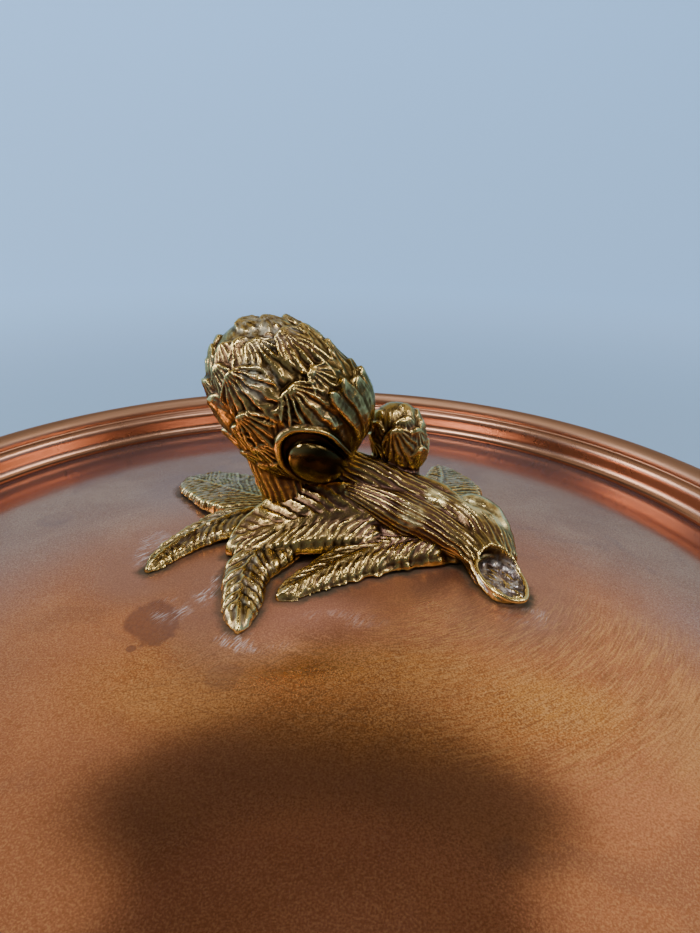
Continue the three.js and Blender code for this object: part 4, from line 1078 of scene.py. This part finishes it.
def copper_outer(name="copper_polished", lid_marks=True):
    n = Nodes(name)
    p = n.position()
    x, y, z = n.split(p)

    def dist(cx, cy, sx=1.0, sy=1.0):
        dx = n.math("DIVIDE", n.math("SUBTRACT", x, cx * MM), sx * MM)
        dy = n.math("DIVIDE", n.math("SUBTRACT", y, cy * MM), sy * MM)
        return n.math("SQRT", n.math("ADD", n.math("MULTIPLY", dx, dx), n.math("MULTIPLY", dy, dy)))

    big = n.noise(p, 14.0, 3.0, 0.55, 0.6)
    mid = n.noise(p, 48.0, 4.0, 0.6, 0.8)
    small = n.noise(p, 2900.0, 3.0, 0.7, 0.1)
    blots = n.noise(p, 1600.0, 3.0, 0.65, 0.3)
    grain = n.noise(p, 8000.0, 1.0, 0.6)
    # thin brown oxide in clouds over bright copper
    cloud = n.step(n.math("ADD", n.math("MULTIPLY", big, 0.6), n.math("MULTIPLY", mid, 0.4)), 0.40, 0.58)
    col = n.mix(cloud, (0.80, 0.36, 0.205, 1), (0.62, 0.27, 0.165, 1))
    # scoured ground: more orange, and speckled
    if lid_marks:
        front = n.math("SUBTRACT", 1.0, n.step(dist(22.0, -52.0, 44.0, 17.0), 0.35, 1.1))
        front2 = n.math("MULTIPLY", n.math("SUBTRACT", 1.0, n.step(dist(-14.0, -48.0, 34.0, 16.0), 0.3, 1.1)), 0.75)
        scour = n.math("MAXIMUM", front, front2)
        scour = n.math("MULTIPLY", scour, n.range(mid, 0.3, 0.7, 0.35, 1.25), clamp=True)
    else:
        scour = n.math("MULTIPLY", n.step(n.noise(p, 20.0, 3.0, 0.55, 0.9), 0.5, 0.66), 0.7)
    col = n.mix(scour, col, (0.83, 0.345, 0.105, 1))
    purple = n.math("MULTIPLY", n.step(n.noise(p, 34.0, 3.0, 0.55, 1.2), 0.57, 0.68), n.math("SUBTRACT", 1.0, n.math("MULTIPLY", scour, 0.6)))
    col = n.mix(n.math("MULTIPLY", purple, 0.5), col, (0.47, 0.225, 0.165, 1))
    # marks of scouring that run round the finial, and wiping marks across the dome
    a1 = n.arcs(p, (0.006, 0.004), 3000.0, 9.0, 1.0)
    a1b = n.arcs(p, (0.012, 0.010), 1700.0, 5.0, 2.0)
    a2 = n.arcs(p, (-0.060, -0.170), 3200.0, 9.0, 5.0)
    a3 = n.arcs(p, (0.120, -0.150), 3400.0, 12.0, 9.0)
    st = n.strokes(p, 0.9, 3400.0, 70.0, 3.0)
    near_arc = n.math("SUBTRACT", 1.0, n.step(dist(46.0, -42.0, 44.0, 30.0), 0.50, 1.1)) if lid_marks else 0.25
    arc_lines = n.math("MAXIMUM", n.step(a1, 0.53, 0.66), n.math("MULTIPLY", n.step(a1b, 0.52, 0.62), 0.8))
    arc_lines = n.math("MULTIPLY", arc_lines, near_arc)
    arc_dark = n.math("MULTIPLY", n.math("SUBTRACT", 1.0, n.step(a1, 0.36, 0.47)), near_arc)
    if lid_marks:
        front = n.math("SUBTRACT", 1.0, n.step(dist(0.0, -48.0, 46.0, 16.0), 0.5, 1.1))
        for ang, sd in ((0.15, 21.0), (2.72, 33.0), (0.72, 45.0)):
            cross = n.math("MULTIPLY", n.step(n.strokes(p, ang, 2600.0, 90.0, sd), 0.54, 0.68), n.step(n.noise(n.vec(n.math("ADD", x, 0.013 * sd), y, z), 60.0, 2.0, 0.5), 0.44, 0.58))
            arc_lines = n.math("MAXIMUM", arc_lines, n.math("MULTIPLY", cross, n.math("MULTIPLY", front, 0.85)))
            cross = n.math("MULTIPLY", n.math("SUBTRACT", 1.0, n.step(n.strokes(p, ang, 2300.0, 80.0, sd + 3.0), 0.34, 0.46)), front)
            arc_dark = n.math("MAXIMUM", arc_dark, n.math("MULTIPLY", cross, 0.8))
    mask = n.step(n.noise(p, 24.0, 2.0, 0.5), 0.42, 0.66)
    wipe = n.math("MAXIMUM", n.step(a2, 0.60, 0.74), n.math("MAXIMUM", n.step(a3, 0.62, 0.74), n.step(st, 0.64, 0.76)))
    wipe = n.math("MULTIPLY", wipe, n.math("MULTIPLY", mask, 0.7))
    if lid_marks:
        uneven = n.math("MULTIPLY", n.math("SUBTRACT", mid, 0.5), 1.6)
        for cx, cy, sx, sy, amt, tone in ((48.0, -51.0, 16.0, 8.0, 0.60, (0.92, 0.50, 0.15, 1)), (51.0, -69.0, 13.0, 11.0, 0.60, (0.84, 0.37, 0.22, 1)),
                                          (70.0, -55.0, 12.0, 16.0, 0.40, (0.90, 0.54, 0.26, 1)), (80.0, -28.0, 18.0, 15.0, 0.45, (0.56, 0.34, 0.27, 1)),
                                          (10.0, -44.0, 24.0, 7.0, 0.70, (0.90, 0.42, 0.12, 1)), (-18.0, -52.0, 16.0, 7.0, 0.55, (0.90, 0.47, 0.19, 1)),
                                          (-64.0, -40.0, 20.0, 26.0, 0.40, (0.60, 0.33, 0.24, 1)), (-60.0, -84.0, 18.0, 16.0, 0.40, (0.74, 0.36, 0.22, 1))):
            away = n.math("ADD", dist(cx, cy, sx, sy), uneven)
            tone_in = n.math("SUBTRACT", 1.0, n.step(away, 0.30, 1.20))
            col = n.mix(n.math("MULTIPLY", tone_in, amt), col, tone)
    col = n.mix(n.math("MULTIPLY", arc_dark, 0.80), col, (0.42, 0.20, 0.11, 1))
    col = n.mix(n.math("MULTIPLY", arc_lines, 0.85), col, (0.95, 0.52, 0.24, 1))
    col = n.mix(n.math("MULTIPLY", wipe, 0.62), col, (0.92, 0.52, 0.30, 1))
    # fine speckle everywhere, stronger on scoured ground
    dark = n.math("MULTIPLY", n.math("SUBTRACT", 1.0, n.step(small, 0.38, 0.52)), n.range(scour, 0.0, 1.0, 0.50, 1.0))
    col = n.mix(dark, col, (0.42, 0.165, 0.065, 1))
    specks = n.math("MULTIPLY", n.math("SUBTRACT", 1.0, n.step(blots, 0.38, 0.50)), n.range(scour, 0.0, 1.0, 0.16, 0.50))
    col = n.mix(specks, col, (0.40, 0.17, 0.08, 1))
    light = n.math("MULTIPLY", n.step(small, 0.51, 0.62), n.range(scour, 0.0, 1.0, 0.36, 0.75))
    col = n.mix(light, col, (1.0, 0.59, 0.30, 1))
    rough_v = n.range(mid, 0.3, 0.7, 0.115, 0.17)
    rough_v = n.math("ADD", rough_v, n.math("MULTIPLY", n.math("ADD", scour, arc_lines), 0.05))
    scr = n.math("MAXIMUM", arc_lines, wipe)
    height = n.math("ADD", n.math("MULTIPLY", scr, -0.25), n.math("ADD", n.math("MULTIPLY", grain, 0.25), n.math("MULTIPLY", small, 0.3)))
    if lid_marks:
        up = n.step(n.split(n.node("ShaderNodeNewGeometry").outputs["Normal"])[2], 0.2, 0.6)
        wob = n.math("ADD", n.math("MULTIPLY", n.math("SUBTRACT", n.noise(p, 120.0, 2.0, 0.5), 0.5), 1.5),
                     n.math("MULTIPLY", n.math("SUBTRACT", n.noise(p, 520.0, 3.0, 0.6), 0.5), 0.5))
        # drops that dried on the copper
        for cx, cy, sx, sy, amt in ((-30.1, -31.8, 5.2, 6.6, 0.80), (-32.2, -39.6, 0.9, 0.9, 0.8), (-13.6, -47.0, 4.6, 3.6, 0.30), (-24.7, 39.4, 7.0, 9.0, 0.20),
                                    (36.0, 66.0, 6.0, 5.0, 0.35), (-58.0, -70.0, 7.0, 6.0, 0.30), (78.0, -58.0, 4.0, 4.0, 0.30), (-70.0, 18.0, 5.0, 5.0, 0.20)):
            away = n.math("ADD", dist(cx, cy, sx, sy), wob)
            spot = n.math("MULTIPLY", n.math("SUBTRACT", 1.0, n.step(away, 0.80, 1.12)), n.range(n.math("ADD", n.math("MULTIPLY", small, 0.5), n.math("MULTIPLY", blots, 0.5)), 0.38, 0.60, 0.45, 1.0), clamp=True)
            col = n.mix(n.math("MULTIPLY", spot, amt), col, (0.25, 0.120, 0.105, 1))
            ring = n.math("MULTIPLY", spot, n.step(away, 0.72, 0.95))
            col = n.mix(n.math("MULTIPLY", ring, amt * 0.35), col, (0.19, 0.085, 0.075, 1))
            rough_v = n.math("ADD", rough_v, n.math("MULTIPLY", spot, 0.05 * amt))
        near = n.math("MULTIPLY", n.attr("near_cast"), 24.0)
        # old polish and verdigris left against the casting
        haze = n.math("MULTIPLY", n.math("SUBTRACT", 1.0, n.step(n.math("ADD", near, n.math("MULTIPLY", mid, 6.0)), 6.0, 21.0)), up)
        col = n.mix(n.math("MULTIPLY", haze, 0.38), col, (0.43, 0.255, 0.20, 1))
        rough_v = n.math("ADD", rough_v, n.math("MULTIPLY", haze, n.range(y, -0.012, 0.018, 0.28, 0.04)))
        dull = n.math("SUBTRACT", 1.0, n.step(n.math("ADD", dist(5.0, -34.0, 20.0, 13.0), n.math("MULTIPLY", n.math("SUBTRACT", mid, 0.5), 0.8)), 0.45, 1.15))
        rough_v = n.math("ADD", rough_v, n.math("MULTIPLY", dull, 0.26))
        jag = n.math("ADD", near, n.math("MULTIPLY", n.math("SUBTRACT", n.noise(p, 420.0, 3.0, 0.6), 0.5), 3.0))
        halo = n.math("MULTIPLY", n.math("SUBTRACT", 1.0, n.step(jag, 0.2, 2.6)), up)
        halo = n.math("MULTIPLY", halo, n.range(n.noise(p, 90.0, 2.0, 0.5), 0.35, 0.6, 0.5, 1.0), clamp=True)
        col = n.mix(n.math("MULTIPLY", halo, 0.92), col, (0.095, 0.095, 0.070, 1))
        rough_v = n.math("ADD", rough_v, n.math("MULTIPLY", halo, 0.25))
        chalk_zone = 0.0
        for cx, cy, sx, sy, amt in ((-37.8, -3.0, 5.0, 9.0, 1.0), (-26.9, -28.0, 5.0, 5.0, 0.6), (-10.0, -38.2, 9.5, 3.4, 0.75), (-21.0, -20.5, 3.6, 7.0, 0.75),
                                    (8.0, -31.0, 11.0, 3.4, 0.3), (47.0, -27.0, 7.0, 4.0, 0.4), (20.0, 42.0, 30.0, 9.0, 0.4)):
            part = n.math("SUBTRACT", 1.0, n.step(dist(cx, cy, sx, sy), 0.45, 1.15))
            chalk_zone = n.math("MAXIMUM", n.math("MULTIPLY", part, amt), chalk_zone)
        chalk_zone = n.math("MULTIPLY", chalk_zone, up)
        chalk = 0.0
        for ang, sd in ((0.95, 4.0), (0.75, 7.0), (1.15, 11.0)):
            ch = n.step(n.strokes(p, ang, 3300.0, 230.0, sd), 0.53, 0.63)
            ch = n.math("MULTIPLY", ch, n.step(n.noise(n.vec(n.math("ADD", x, 0.01 * sd), y, z), 110.0, 2.0, 0.5), 0.50, 0.60))
            chalk = n.math("MAXIMUM", ch, chalk)
        chalk = n.math("MULTIPLY", chalk, chalk_zone)
        col = n.mix(n.math("MULTIPLY", chalk, 0.85), col, (0.70, 0.69, 0.73, 1))
        rough_v = n.math("ADD", rough_v, n.math("MULTIPLY", chalk, 0.3))
        n.put(n.bsdf, "Metallic", n.range(chalk, 0.0, 1.0, 1.0, 0.35))
        # the rolled edge is handled and dull, the wall inside it less so
        rad = n.math("SQRT", n.math("ADD", n.math("MULTIPLY", x, x), n.math("MULTIPLY", y, y)))
        wall = n.step(rad, 0.1200, 0.1212)
        edge = n.step(rad, 0.1232, 0.1242)
        brim = n.math("MULTIPLY", n.step(n.math("ADD", rad, n.math("MULTIPLY", mid, 0.006)), 0.104, 0.113), 0.60)
        col = n.mix(brim, col, (0.42, 0.27, 0.225, 1))
        rough_v = n.lerp(wall, rough_v, n.range(mid, 0.3, 0.7, 0.25, 0.32))
        col = n.mix(n.math("MULTIPLY", wall, 0.55), col, (0.44, 0.225, 0.13, 1))
        rough_v = n.lerp(edge, rough_v, n.range(mid, 0.3, 0.7, 0.46, 0.54))
        col = n.mix(n.math("MULTIPLY", edge, 0.88), col, (0.31, 0.175, 0.105, 1))
    n.put(n.bsdf, "Base Color", col)
    if not lid_marks:
        n.put(n.bsdf, "Metallic", 1.0)
    n.put(n.bsdf, "Specular Tint", (0.56, 0.46, 0.41, 1))
    n.put(n.bsdf, "Sheen Weight", 0.27)
    n.put(n.bsdf, "Sheen Roughness", 0.35)
    n.put(n.bsdf, "Sheen Tint", (0.80, 0.66, 0.66, 1))
    n.put(n.bsdf, "Roughness", rough_v)
    n.put(n.bsdf, "Normal", n.bump(height, 0.5, 0.000014))
    return n.mat


def tin_lining():
    n = Nodes("tin_lining")
    p = n.position()
    cl = n.noise(p, 28.0, 4.0, 0.6, 0.8)
    wipe = n.arcs(p, (0.0, 0.0), 1500.0, 5.0, 2.0)
    col = n.mix(n.step(cl, 0.35, 0.7), lin(206, 202, 194), lin(168, 164, 158))
    n.put(n.bsdf, "Base Color", col)
    n.put(n.bsdf, "Metallic", 1.0)
    n.put(n.bsdf, "Roughness", n.range(cl, 0.3, 0.7, 0.30, 0.46))
    n.put(n.bsdf, "Normal", n.bump(n.math("ADD", wipe, n.math("MULTIPLY", cl, 0.6)), 0.25, 0.0002))
    return n.mat


def cast_brass(name="cast_brass", worn_lid=True):
    n = Nodes(name)
    p = n.position()
    rf, rw = n.attr("ridge_fine"), n.attr("ridge_wide")
    pit = n.noise(p, 1000.0, 4.0, 0.65)
    mott = n.noise(p, 130.0, 3.0, 0.6, 0.6)
    wide = n.noise(p, 60.0, 3.0, 0.6, 0.8)
    h = n.math("ADD", n.math("MULTIPLY", rf, 0.5), n.math("MULTIPLY", rw, 0.5))
    h = n.math("ADD", h, n.math("MULTIPLY", n.math("SUBTRACT", pit, 0.5), 0.22))
    # the colour follows the ridge heights: painted shade, near black, in the grooves and hollows, and painted
    # highlight, pale gold, on the crests
    col = n.ramp(h, [(0.24, (0.022, 0.012, 0.004, 1)), (0.40, (0.105, 0.064, 0.024, 1)), (0.50, (0.25, 0.172, 0.072, 1)),
                     (0.61, (0.50, 0.350, 0.118, 1)), (0.80, (0.82, 0.62, 0.235, 1))])
    # lacquer gone brown and a little purple in patches
    tint = n.math("MULTIPLY", n.step(n.math("ADD", n.math("MULTIPLY", wide, 0.6), n.math("MULTIPLY", mott, 0.4)), 0.46, 0.60), n.math("SUBTRACT", 1.0, n.step(h, 0.50, 0.70)))
    col = n.mix(n.math("MULTIPLY", tint, 0.6), col, (0.15, 0.078, 0.050, 1))
    high = n.step(h, 0.45, 0.7)
    rough_v = n.lerp(high, 0.32, 0.12)
    metal = 1.0
    if worn_lid:
        # pale dust of old polish on the crown and the far leaf
        x, y, z = n.split(p)

        def ball(cx, cy, cz, r):
            dx = n.math("SUBTRACT", x, cx * MM)
            dy = n.math("SUBTRACT", y, cy * MM)
            dz = n.math("SUBTRACT", z, (cz + LID_Z) * MM)
            dd = n.math("SQRT", n.math("ADD", n.math("MULTIPLY", dx, dx), n.math("ADD", n.math("MULTIPLY", dy, dy), n.math("MULTIPLY", dz, dz))))
            return n.math("SUBTRACT", 1.0, n.step(dd, r * 0.45 * MM, r * MM))

        # lacquer left brown over the stem and under the head
        stem = n.math("MAXIMUM", ball(22, -1, 9, 17), n.math("MULTIPLY", ball(4, -4, 17, 12), 0.9))
        stem = n.math("MULTIPLY", stem, n.math("SUBTRACT", 1.0, n.step(h, 0.50, 0.60)))
        col = n.mix(n.math("MULTIPLY", stem, 0.85), col, (0.125, 0.066, 0.050, 1))
        # painted shade: the long folds on the right of the head darkened, less on their crests
        folds = n.math("MULTIPLY", ball(9.0, 0.5, 38.0, 13.0), n.range(h, 0.5, 0.72, 1.0, 0.45), clamp=True)
        col = n.mix(n.math("MULTIPLY", folds, 0.80), col, (0.060, 0.038, 0.012, 1))
        # painted shade: the bulb inside the hood darkened nearly to black, but not where it faces down
        nz = n.split(n.node("ShaderNodeNewGeometry").outputs["Normal"])[2]
        shade = n.math("MULTIPLY", ball(3.6, -8.8, 22.0, 12.0), n.step(nz, -0.80, -0.40))
        col = n.mix(n.math("MULTIPLY", shade, 0.97), col, (0.011, 0.0055, 0.0012, 1))
        # rubbed bright where a hand catches it, and a painted highlight, paler gold, on the knuckle and the rubbed
        # places of the stem
        worn_and_highlight = n.math("MAXIMUM", ball(38.6, 2.0, 9.4, 6.0), n.math("MAXIMUM", n.math("MULTIPLY", ball(23.2, -6.6, 10.8, 4.0), 0.8), n.math("MAXIMUM", ball(29.6, 0.6, 12.2, 3.6), ball(44.2, -1.2, 8.0, 4.4))))
        worn_and_highlight = n.math("MULTIPLY", worn_and_highlight, n.range(n.noise(p, 520.0, 3.0, 0.6), 0.40, 0.58, 0.15, 1.0), clamp=True)
        col = n.mix(n.math("MULTIPLY", worn_and_highlight, 0.88), col, (1.0, 0.86, 0.44, 1))
        rough_v = n.math("ADD", rough_v, n.math("MULTIPLY", worn_and_highlight, 0.10))
        # raw grey-purple metal on the floor of the cut, with pale flecks painted on as glints
        raw_metal_and_glints = ball(42.6, -17.8, 1.0, 7.6)
        raw_metal_and_glints = n.math("MULTIPLY", raw_metal_and_glints, n.math("SUBTRACT", 1.0, n.step(h, 0.52, 0.66)))
        col = n.mix(n.math("MULTIPLY", raw_metal_and_glints, 0.8), col, n.mix(n.step(n.noise(p, 700.0, 3.0, 0.6), 0.46, 0.60), (0.24, 0.19, 0.19, 1), (0.75, 0.72, 0.74, 1)))
        dusty = n.math("MAXIMUM", ball(-30, 30, 2, 22), n.math("MAXIMUM", ball(-10, 3, 53, 10), n.math("MAXIMUM", ball(38, 38, 4, 20), ball(-11, -6, 42, 6))))
        low = n.math("MULTIPLY", n.math("MAXIMUM", ball(-24, 0, 3, 14), ball(-12, -24, 3, 15)), 0.45)
        dust = n.math("MULTIPLY", n.math("MAXIMUM", dusty, low), n.range(n.noise(p, 420.0, 4.0, 0.65), 0.44, 0.60, 0.0, 1.0), clamp=True)
        col = n.mix(n.math("MULTIPLY", dust, 0.6), col, (0.42, 0.42, 0.34, 1))
        rough_v = n.math("ADD", rough_v, n.math("MULTIPLY", dust, 0.18))
        metal = n.range(dust, 0.0, 1.0, 1.0, 0.75)
    n.put(n.bsdf, "Base Color", col)
    n.put(n.bsdf, "Metallic", metal)
    n.put(n.bsdf, "Specular Tint", (0.72, 0.66, 0.52, 1))
    n.put(n.bsdf, "Roughness", rough_v)
    n.put(n.bsdf, "Normal", n.bump(n.math("ADD", n.math("MULTIPLY", pit, 0.8), n.noise(p, 2600.0, 2.0, 0.6)), 0.5, 0.0001))
    return n.mat


def rivet_metal():
    n = Nodes("rivet_copper")
    p = n.position()
    a = n.noise(p, 140.0, 3.0, 0.6)
    b = n.noise(p, 900.0, 3.0, 0.6)
    n.put(n.bsdf, "Base Color", n.mix(n.step(a, 0.4, 0.65), lin(214, 136, 96), lin(168, 98, 70)))
    n.put(n.bsdf, "Metallic", 1.0)
    n.put(n.bsdf, "Roughness", n.range(b, 0.3, 0.7, 0.24, 0.42))
    n.put(n.bsdf, "Normal", n.bump(n.math("ADD", a, n.math("MULTIPLY", b, 0.3)), 0.4, 0.0003))
    return n.mat


def turned_brass():
    n = Nodes("turned_brass")
    p = n.position()
    a = n.noise(p, 300.0, 3.0, 0.6)
    n.put(n.bsdf, "Base Color", n.mix(n.step(a, 0.4, 0.65), lin(206, 172, 104), lin(168, 132, 74)))
    n.put(n.bsdf, "Metallic", 1.0)
    n.put(n.bsdf, "Roughness", n.range(a, 0.3, 0.7, 0.26, 0.42))
    n.put(n.bsdf, "Normal", n.bump(n.noise(p, 2400.0, 2.0, 0.6), 0.2, 0.0001))
    return n.mat


def drawn_steel():
    n = Nodes("drawn_steel")
    p = n.position()
    a = n.noise(p, 400.0, 3.0, 0.6)
    n.put(n.bsdf, "Base Color", n.mix(n.step(a, 0.4, 0.7), lin(150, 150, 150), lin(112, 104, 98)))
    n.put(n.bsdf, "Metallic", 1.0)
    n.put(n.bsdf, "Roughness", n.range(a, 0.3, 0.7, 0.34, 0.5))
    n.put(n.bsdf, "Normal", n.bump(a, 0.2, 0.0001))
    return n.mat


M_LID = copper_outer("copper_lid", True)
M_POT = copper_outer("copper_pot", False)
M_TIN = tin_lining()
M_BRASS = cast_brass()
M_HANDLE = cast_brass("cast_brass_plain", False)
M_RIVET = rivet_metal()
M_FIX = turned_brass()
M_WIRE = drawn_steel()


def two_faced(ob, outside, inside, is_inside):
    ob.data.materials.append(outside)
    ob.data.materials.append(inside)
    me = ob.data
    c = np.zeros(len(me.polygons) * 3)
    me.polygons.foreach_get("center", c)
    no = np.zeros(len(me.polygons) * 3)
    me.polygons.foreach_get("normal", no)
    idx = is_inside(c.reshape(-1, 3) / MM, no.reshape(-1, 3)).astype(np.int32)
    me.polygons.foreach_set("material_index", idx)


def lid_inside(c, no):
    r = np.hypot(c[:, 0], c[:, 1])
    out = (c[:, 0] * no[:, 0] + c[:, 1] * no[:, 1]) / np.maximum(r, 1e-6)
    z = c[:, 2] - LID_Z
    under = (no[:, 2] < -0.5) & (r < 121.0)
    wall = (out > 0.5) & (r < 123.4) & (z < -5.0)
    fil = (r > 117.5) & (r < 123.4) & (z < -9.0) & (no[:, 2] < 0.2) & (out > -0.2)
    return under | wall | fil


def pot_inside(c, no):
    r = np.hypot(c[:, 0], c[:, 1])
    out = (c[:, 0] * no[:, 0] + c[:, 1] * no[:, 1]) / np.maximum(r, 1e-6)
    return ((out < -0.5) & (r < 124.2) & (c[:, 2] < 145.5)) | ((no[:, 2] > 0.3) & (c[:, 2] < 14.5) & (r < 123.9))


two_faced(lid, M_LID, M_TIN, lid_inside)
two_faced(vessel, M_POT, M_TIN, pot_inside)
for ob in finial:
    ob.data.materials.clear()
    ob.data.materials.append(M_BRASS)
for ob in handles:
    ob.data.materials.clear()
    ob.data.materials.append(M_HANDLE)
for ob in rivets:
    ob.data.materials.append(M_RIVET)
for ob in fixings:
    ob.data.materials.append(M_FIX)
for node in ("pot_rim_wire", "lid_rim_wire"):
    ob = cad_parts[node]
    for s in ob.material_slots:
        s.material = M_WIRE


# ------------------------------------------------------------------ stage and light
def paper():
    """Pale blue-grey paper. Its base colour is painted dark and warm high up and on the near side, a painted shade for
    the dim room; away from the pot it glows, painted light in its emission, blue low down and warmer high up.
    """
    n = Nodes("paper")
    p = n.position()
    x, y, z = n.split(p)
    r = n.math("SQRT", n.math("ADD", n.math("MULTIPLY", x, x), n.math("MULTIPLY", y, y)))
    far = n.step(r, 0.40, 1.50)
    back = n.range(n.step(y, -0.5, 1.1), 0.0, 1.0, 0.10, 1.0)
    high = n.step(z, 0.70, 1.45)
    top = n.step(z, 2.74, 3.10)
    wing = n.step(n.math("DIVIDE", n.math("ABSOLUTE", x), n.math("MAXIMUM", r, 0.01)), 0.68, 0.84)
    top = n.math("SUBTRACT", 1.0, n.math("MULTIPLY", n.math("MULTIPLY", top, 0.88), n.math("SUBTRACT", 1.0, wing)))
    side = n.range(x, -1.3, 1.3, 1.12, 0.80)
    warm_side = n.range(n.math("MULTIPLY", high, n.step(x, 0.3, 1.4)), 0.0, 1.0, 1.0, 1.75)
    lift_ = n.range(z, 0.0, 0.9, 0.84, 1.12)
    glow = n.mix(high, (0.235, 0.42, 0.69, 1), (0.40, 0.34, 0.24, 1))
    # painted shade: base colour dark and warm high up and on the near side
    n.put(n.bsdf, "Base Color", n.mix(n.math("MAXIMUM", high, n.math("SUBTRACT", 1.0, n.step(y, -1.2, 0.2))), (0.32, 0.50, 0.74, 1), (0.20, 0.19, 0.17, 1)))
    n.put(n.bsdf, "Roughness", 0.9)
    n.put(n.bsdf, "Specular IOR Level", 0.1)
    # painted light: emission that grows away from the pot, strongest on the far side and to the left, warm and
    # stronger high on the right, dimmed at the very top except at the sides
    n.put(n.bsdf, "Emission Color", glow)
    s1 = n.math("MULTIPLY", n.math("MULTIPLY", far, back), n.math("MULTIPLY", side, lift_))
    n.put(n.bsdf, "Emission Strength", n.math("MULTIPLY", s1, n.math("MULTIPLY", top, warm_side)))
    n.put(n.bsdf, "Normal", n.bump(n.noise(p, 700.0, 2.0, 0.6), 0.25, 0.0006))
    return n.mat


def add_stage():
    """Round sweep of pale paper: a flat floor that turns up into a wall on every side."""
    prof = [(0.01, 0.0)] + [(r, 0.0) for r in np.linspace(60, 1500, 24)]
    prof += arc_pts((1500.0, 600.0), 600.0, -90, 0, 20)[1:]
    prof += line_pts((2100.0, 600.0), (2100.0, 4600.0), 16)
    prof = np.array(prof)
    seg = 96
    a = np.arange(seg) / seg * 2 * math.pi
    v = np.stack([np.outer(prof[:, 0], np.cos(a)), np.outer(prof[:, 0], np.sin(a)), np.tile(prof[:, 1][:, None], (1, seg))], -1).reshape(-1, 3)
    m = len(prof)
    i, j = np.meshgrid(np.arange(m - 1), np.arange(seg), indexing="ij")
    k = (j + 1) % seg
    q = np.stack([i * seg + j, i * seg + k, (i + 1) * seg + k, (i + 1) * seg + j], -1).reshape(-1, 4)
    ob = mesh_object("sweep", (v, q, np.zeros((0, 3), int)), 0.0)
    ob.data.materials.append(paper())
    return ob


add_stage()


def area(name, at, target, size, radiance, colour=(1, 1, 1), size_y=None):
    """Soft box; radiance is that of its face."""
    li = bpy.data.lights.new(name, "AREA")
    li.shape = "RECTANGLE"
    li.size = size
    li.size_y = size_y or size
    li.energy = radiance * math.pi * li.size * li.size_y
    li.color = colour
    ob = bpy.data.objects.new(name, li)
    at, target = np.array(at, float), np.array(target, float)
    z = at - target
    z /= np.linalg.norm(z)
    x = np.cross([0, 0, 1.0], z) if abs(z[2]) < 0.99 else np.array([1.0, 0, 0])
    x /= np.linalg.norm(x)
    y = np.cross(z, x)
    m = Matrix.Identity(4)
    for i in range(3):
        m[i][0], m[i][1], m[i][2], m[i][3] = x[i], y[i], z[i], at[i]
    ob.matrix_world = m
    bpy.context.scene.collection.objects.link(ob)
    return ob


def aimed(name, azimuth, elevation, distance, size, radiance, colour=(1, 1, 1), size_y=None):
    """Soft box at a bearing from the lid: azimuth from the far side round to the right."""
    a, e = math.radians(azimuth), math.radians(elevation)
    c = np.array([0.0, 0.0, 0.16])
    at = c + distance * np.array([math.sin(a) * math.cos(e), math.cos(a) * math.cos(e), math.sin(e)])
    return area(name, at, c, size, radiance, colour, size_y)


def add_world():
    w = bpy.data.worlds.new("studio")
    bpy.context.scene.world = w
    w.use_nodes = True
    t = w.node_tree
    t.nodes.clear()
    out = t.nodes.new("ShaderNodeOutputWorld")
    bg = t.nodes.new("ShaderNodeBackground")
    bg.inputs["Color"].default_value = (0.14, 0.11, 0.085, 1)
    bg.inputs["Strength"].default_value = 1.0
    t.links.new(bg.outputs[0], out.inputs[0])


add_world()
aimed("window_right", 92, 36, 1.9, 0.50, 11.0, (1.0, 0.93, 0.84))
aimed("window_left", -84, 18, 1.9, 0.60, 10.0, (1.0, 0.97, 0.92))
aimed("key", -132, 48, 1.8, 0.40, 24.0, (1.0, 0.97, 0.92))
aimed("top", 180, 82, 1.9, 0.44, 19.0, (0.98, 0.98, 1.0))
aimed("front_right", 140, 40, 1.9, 0.30, 14.0, (1.0, 0.97, 0.93))
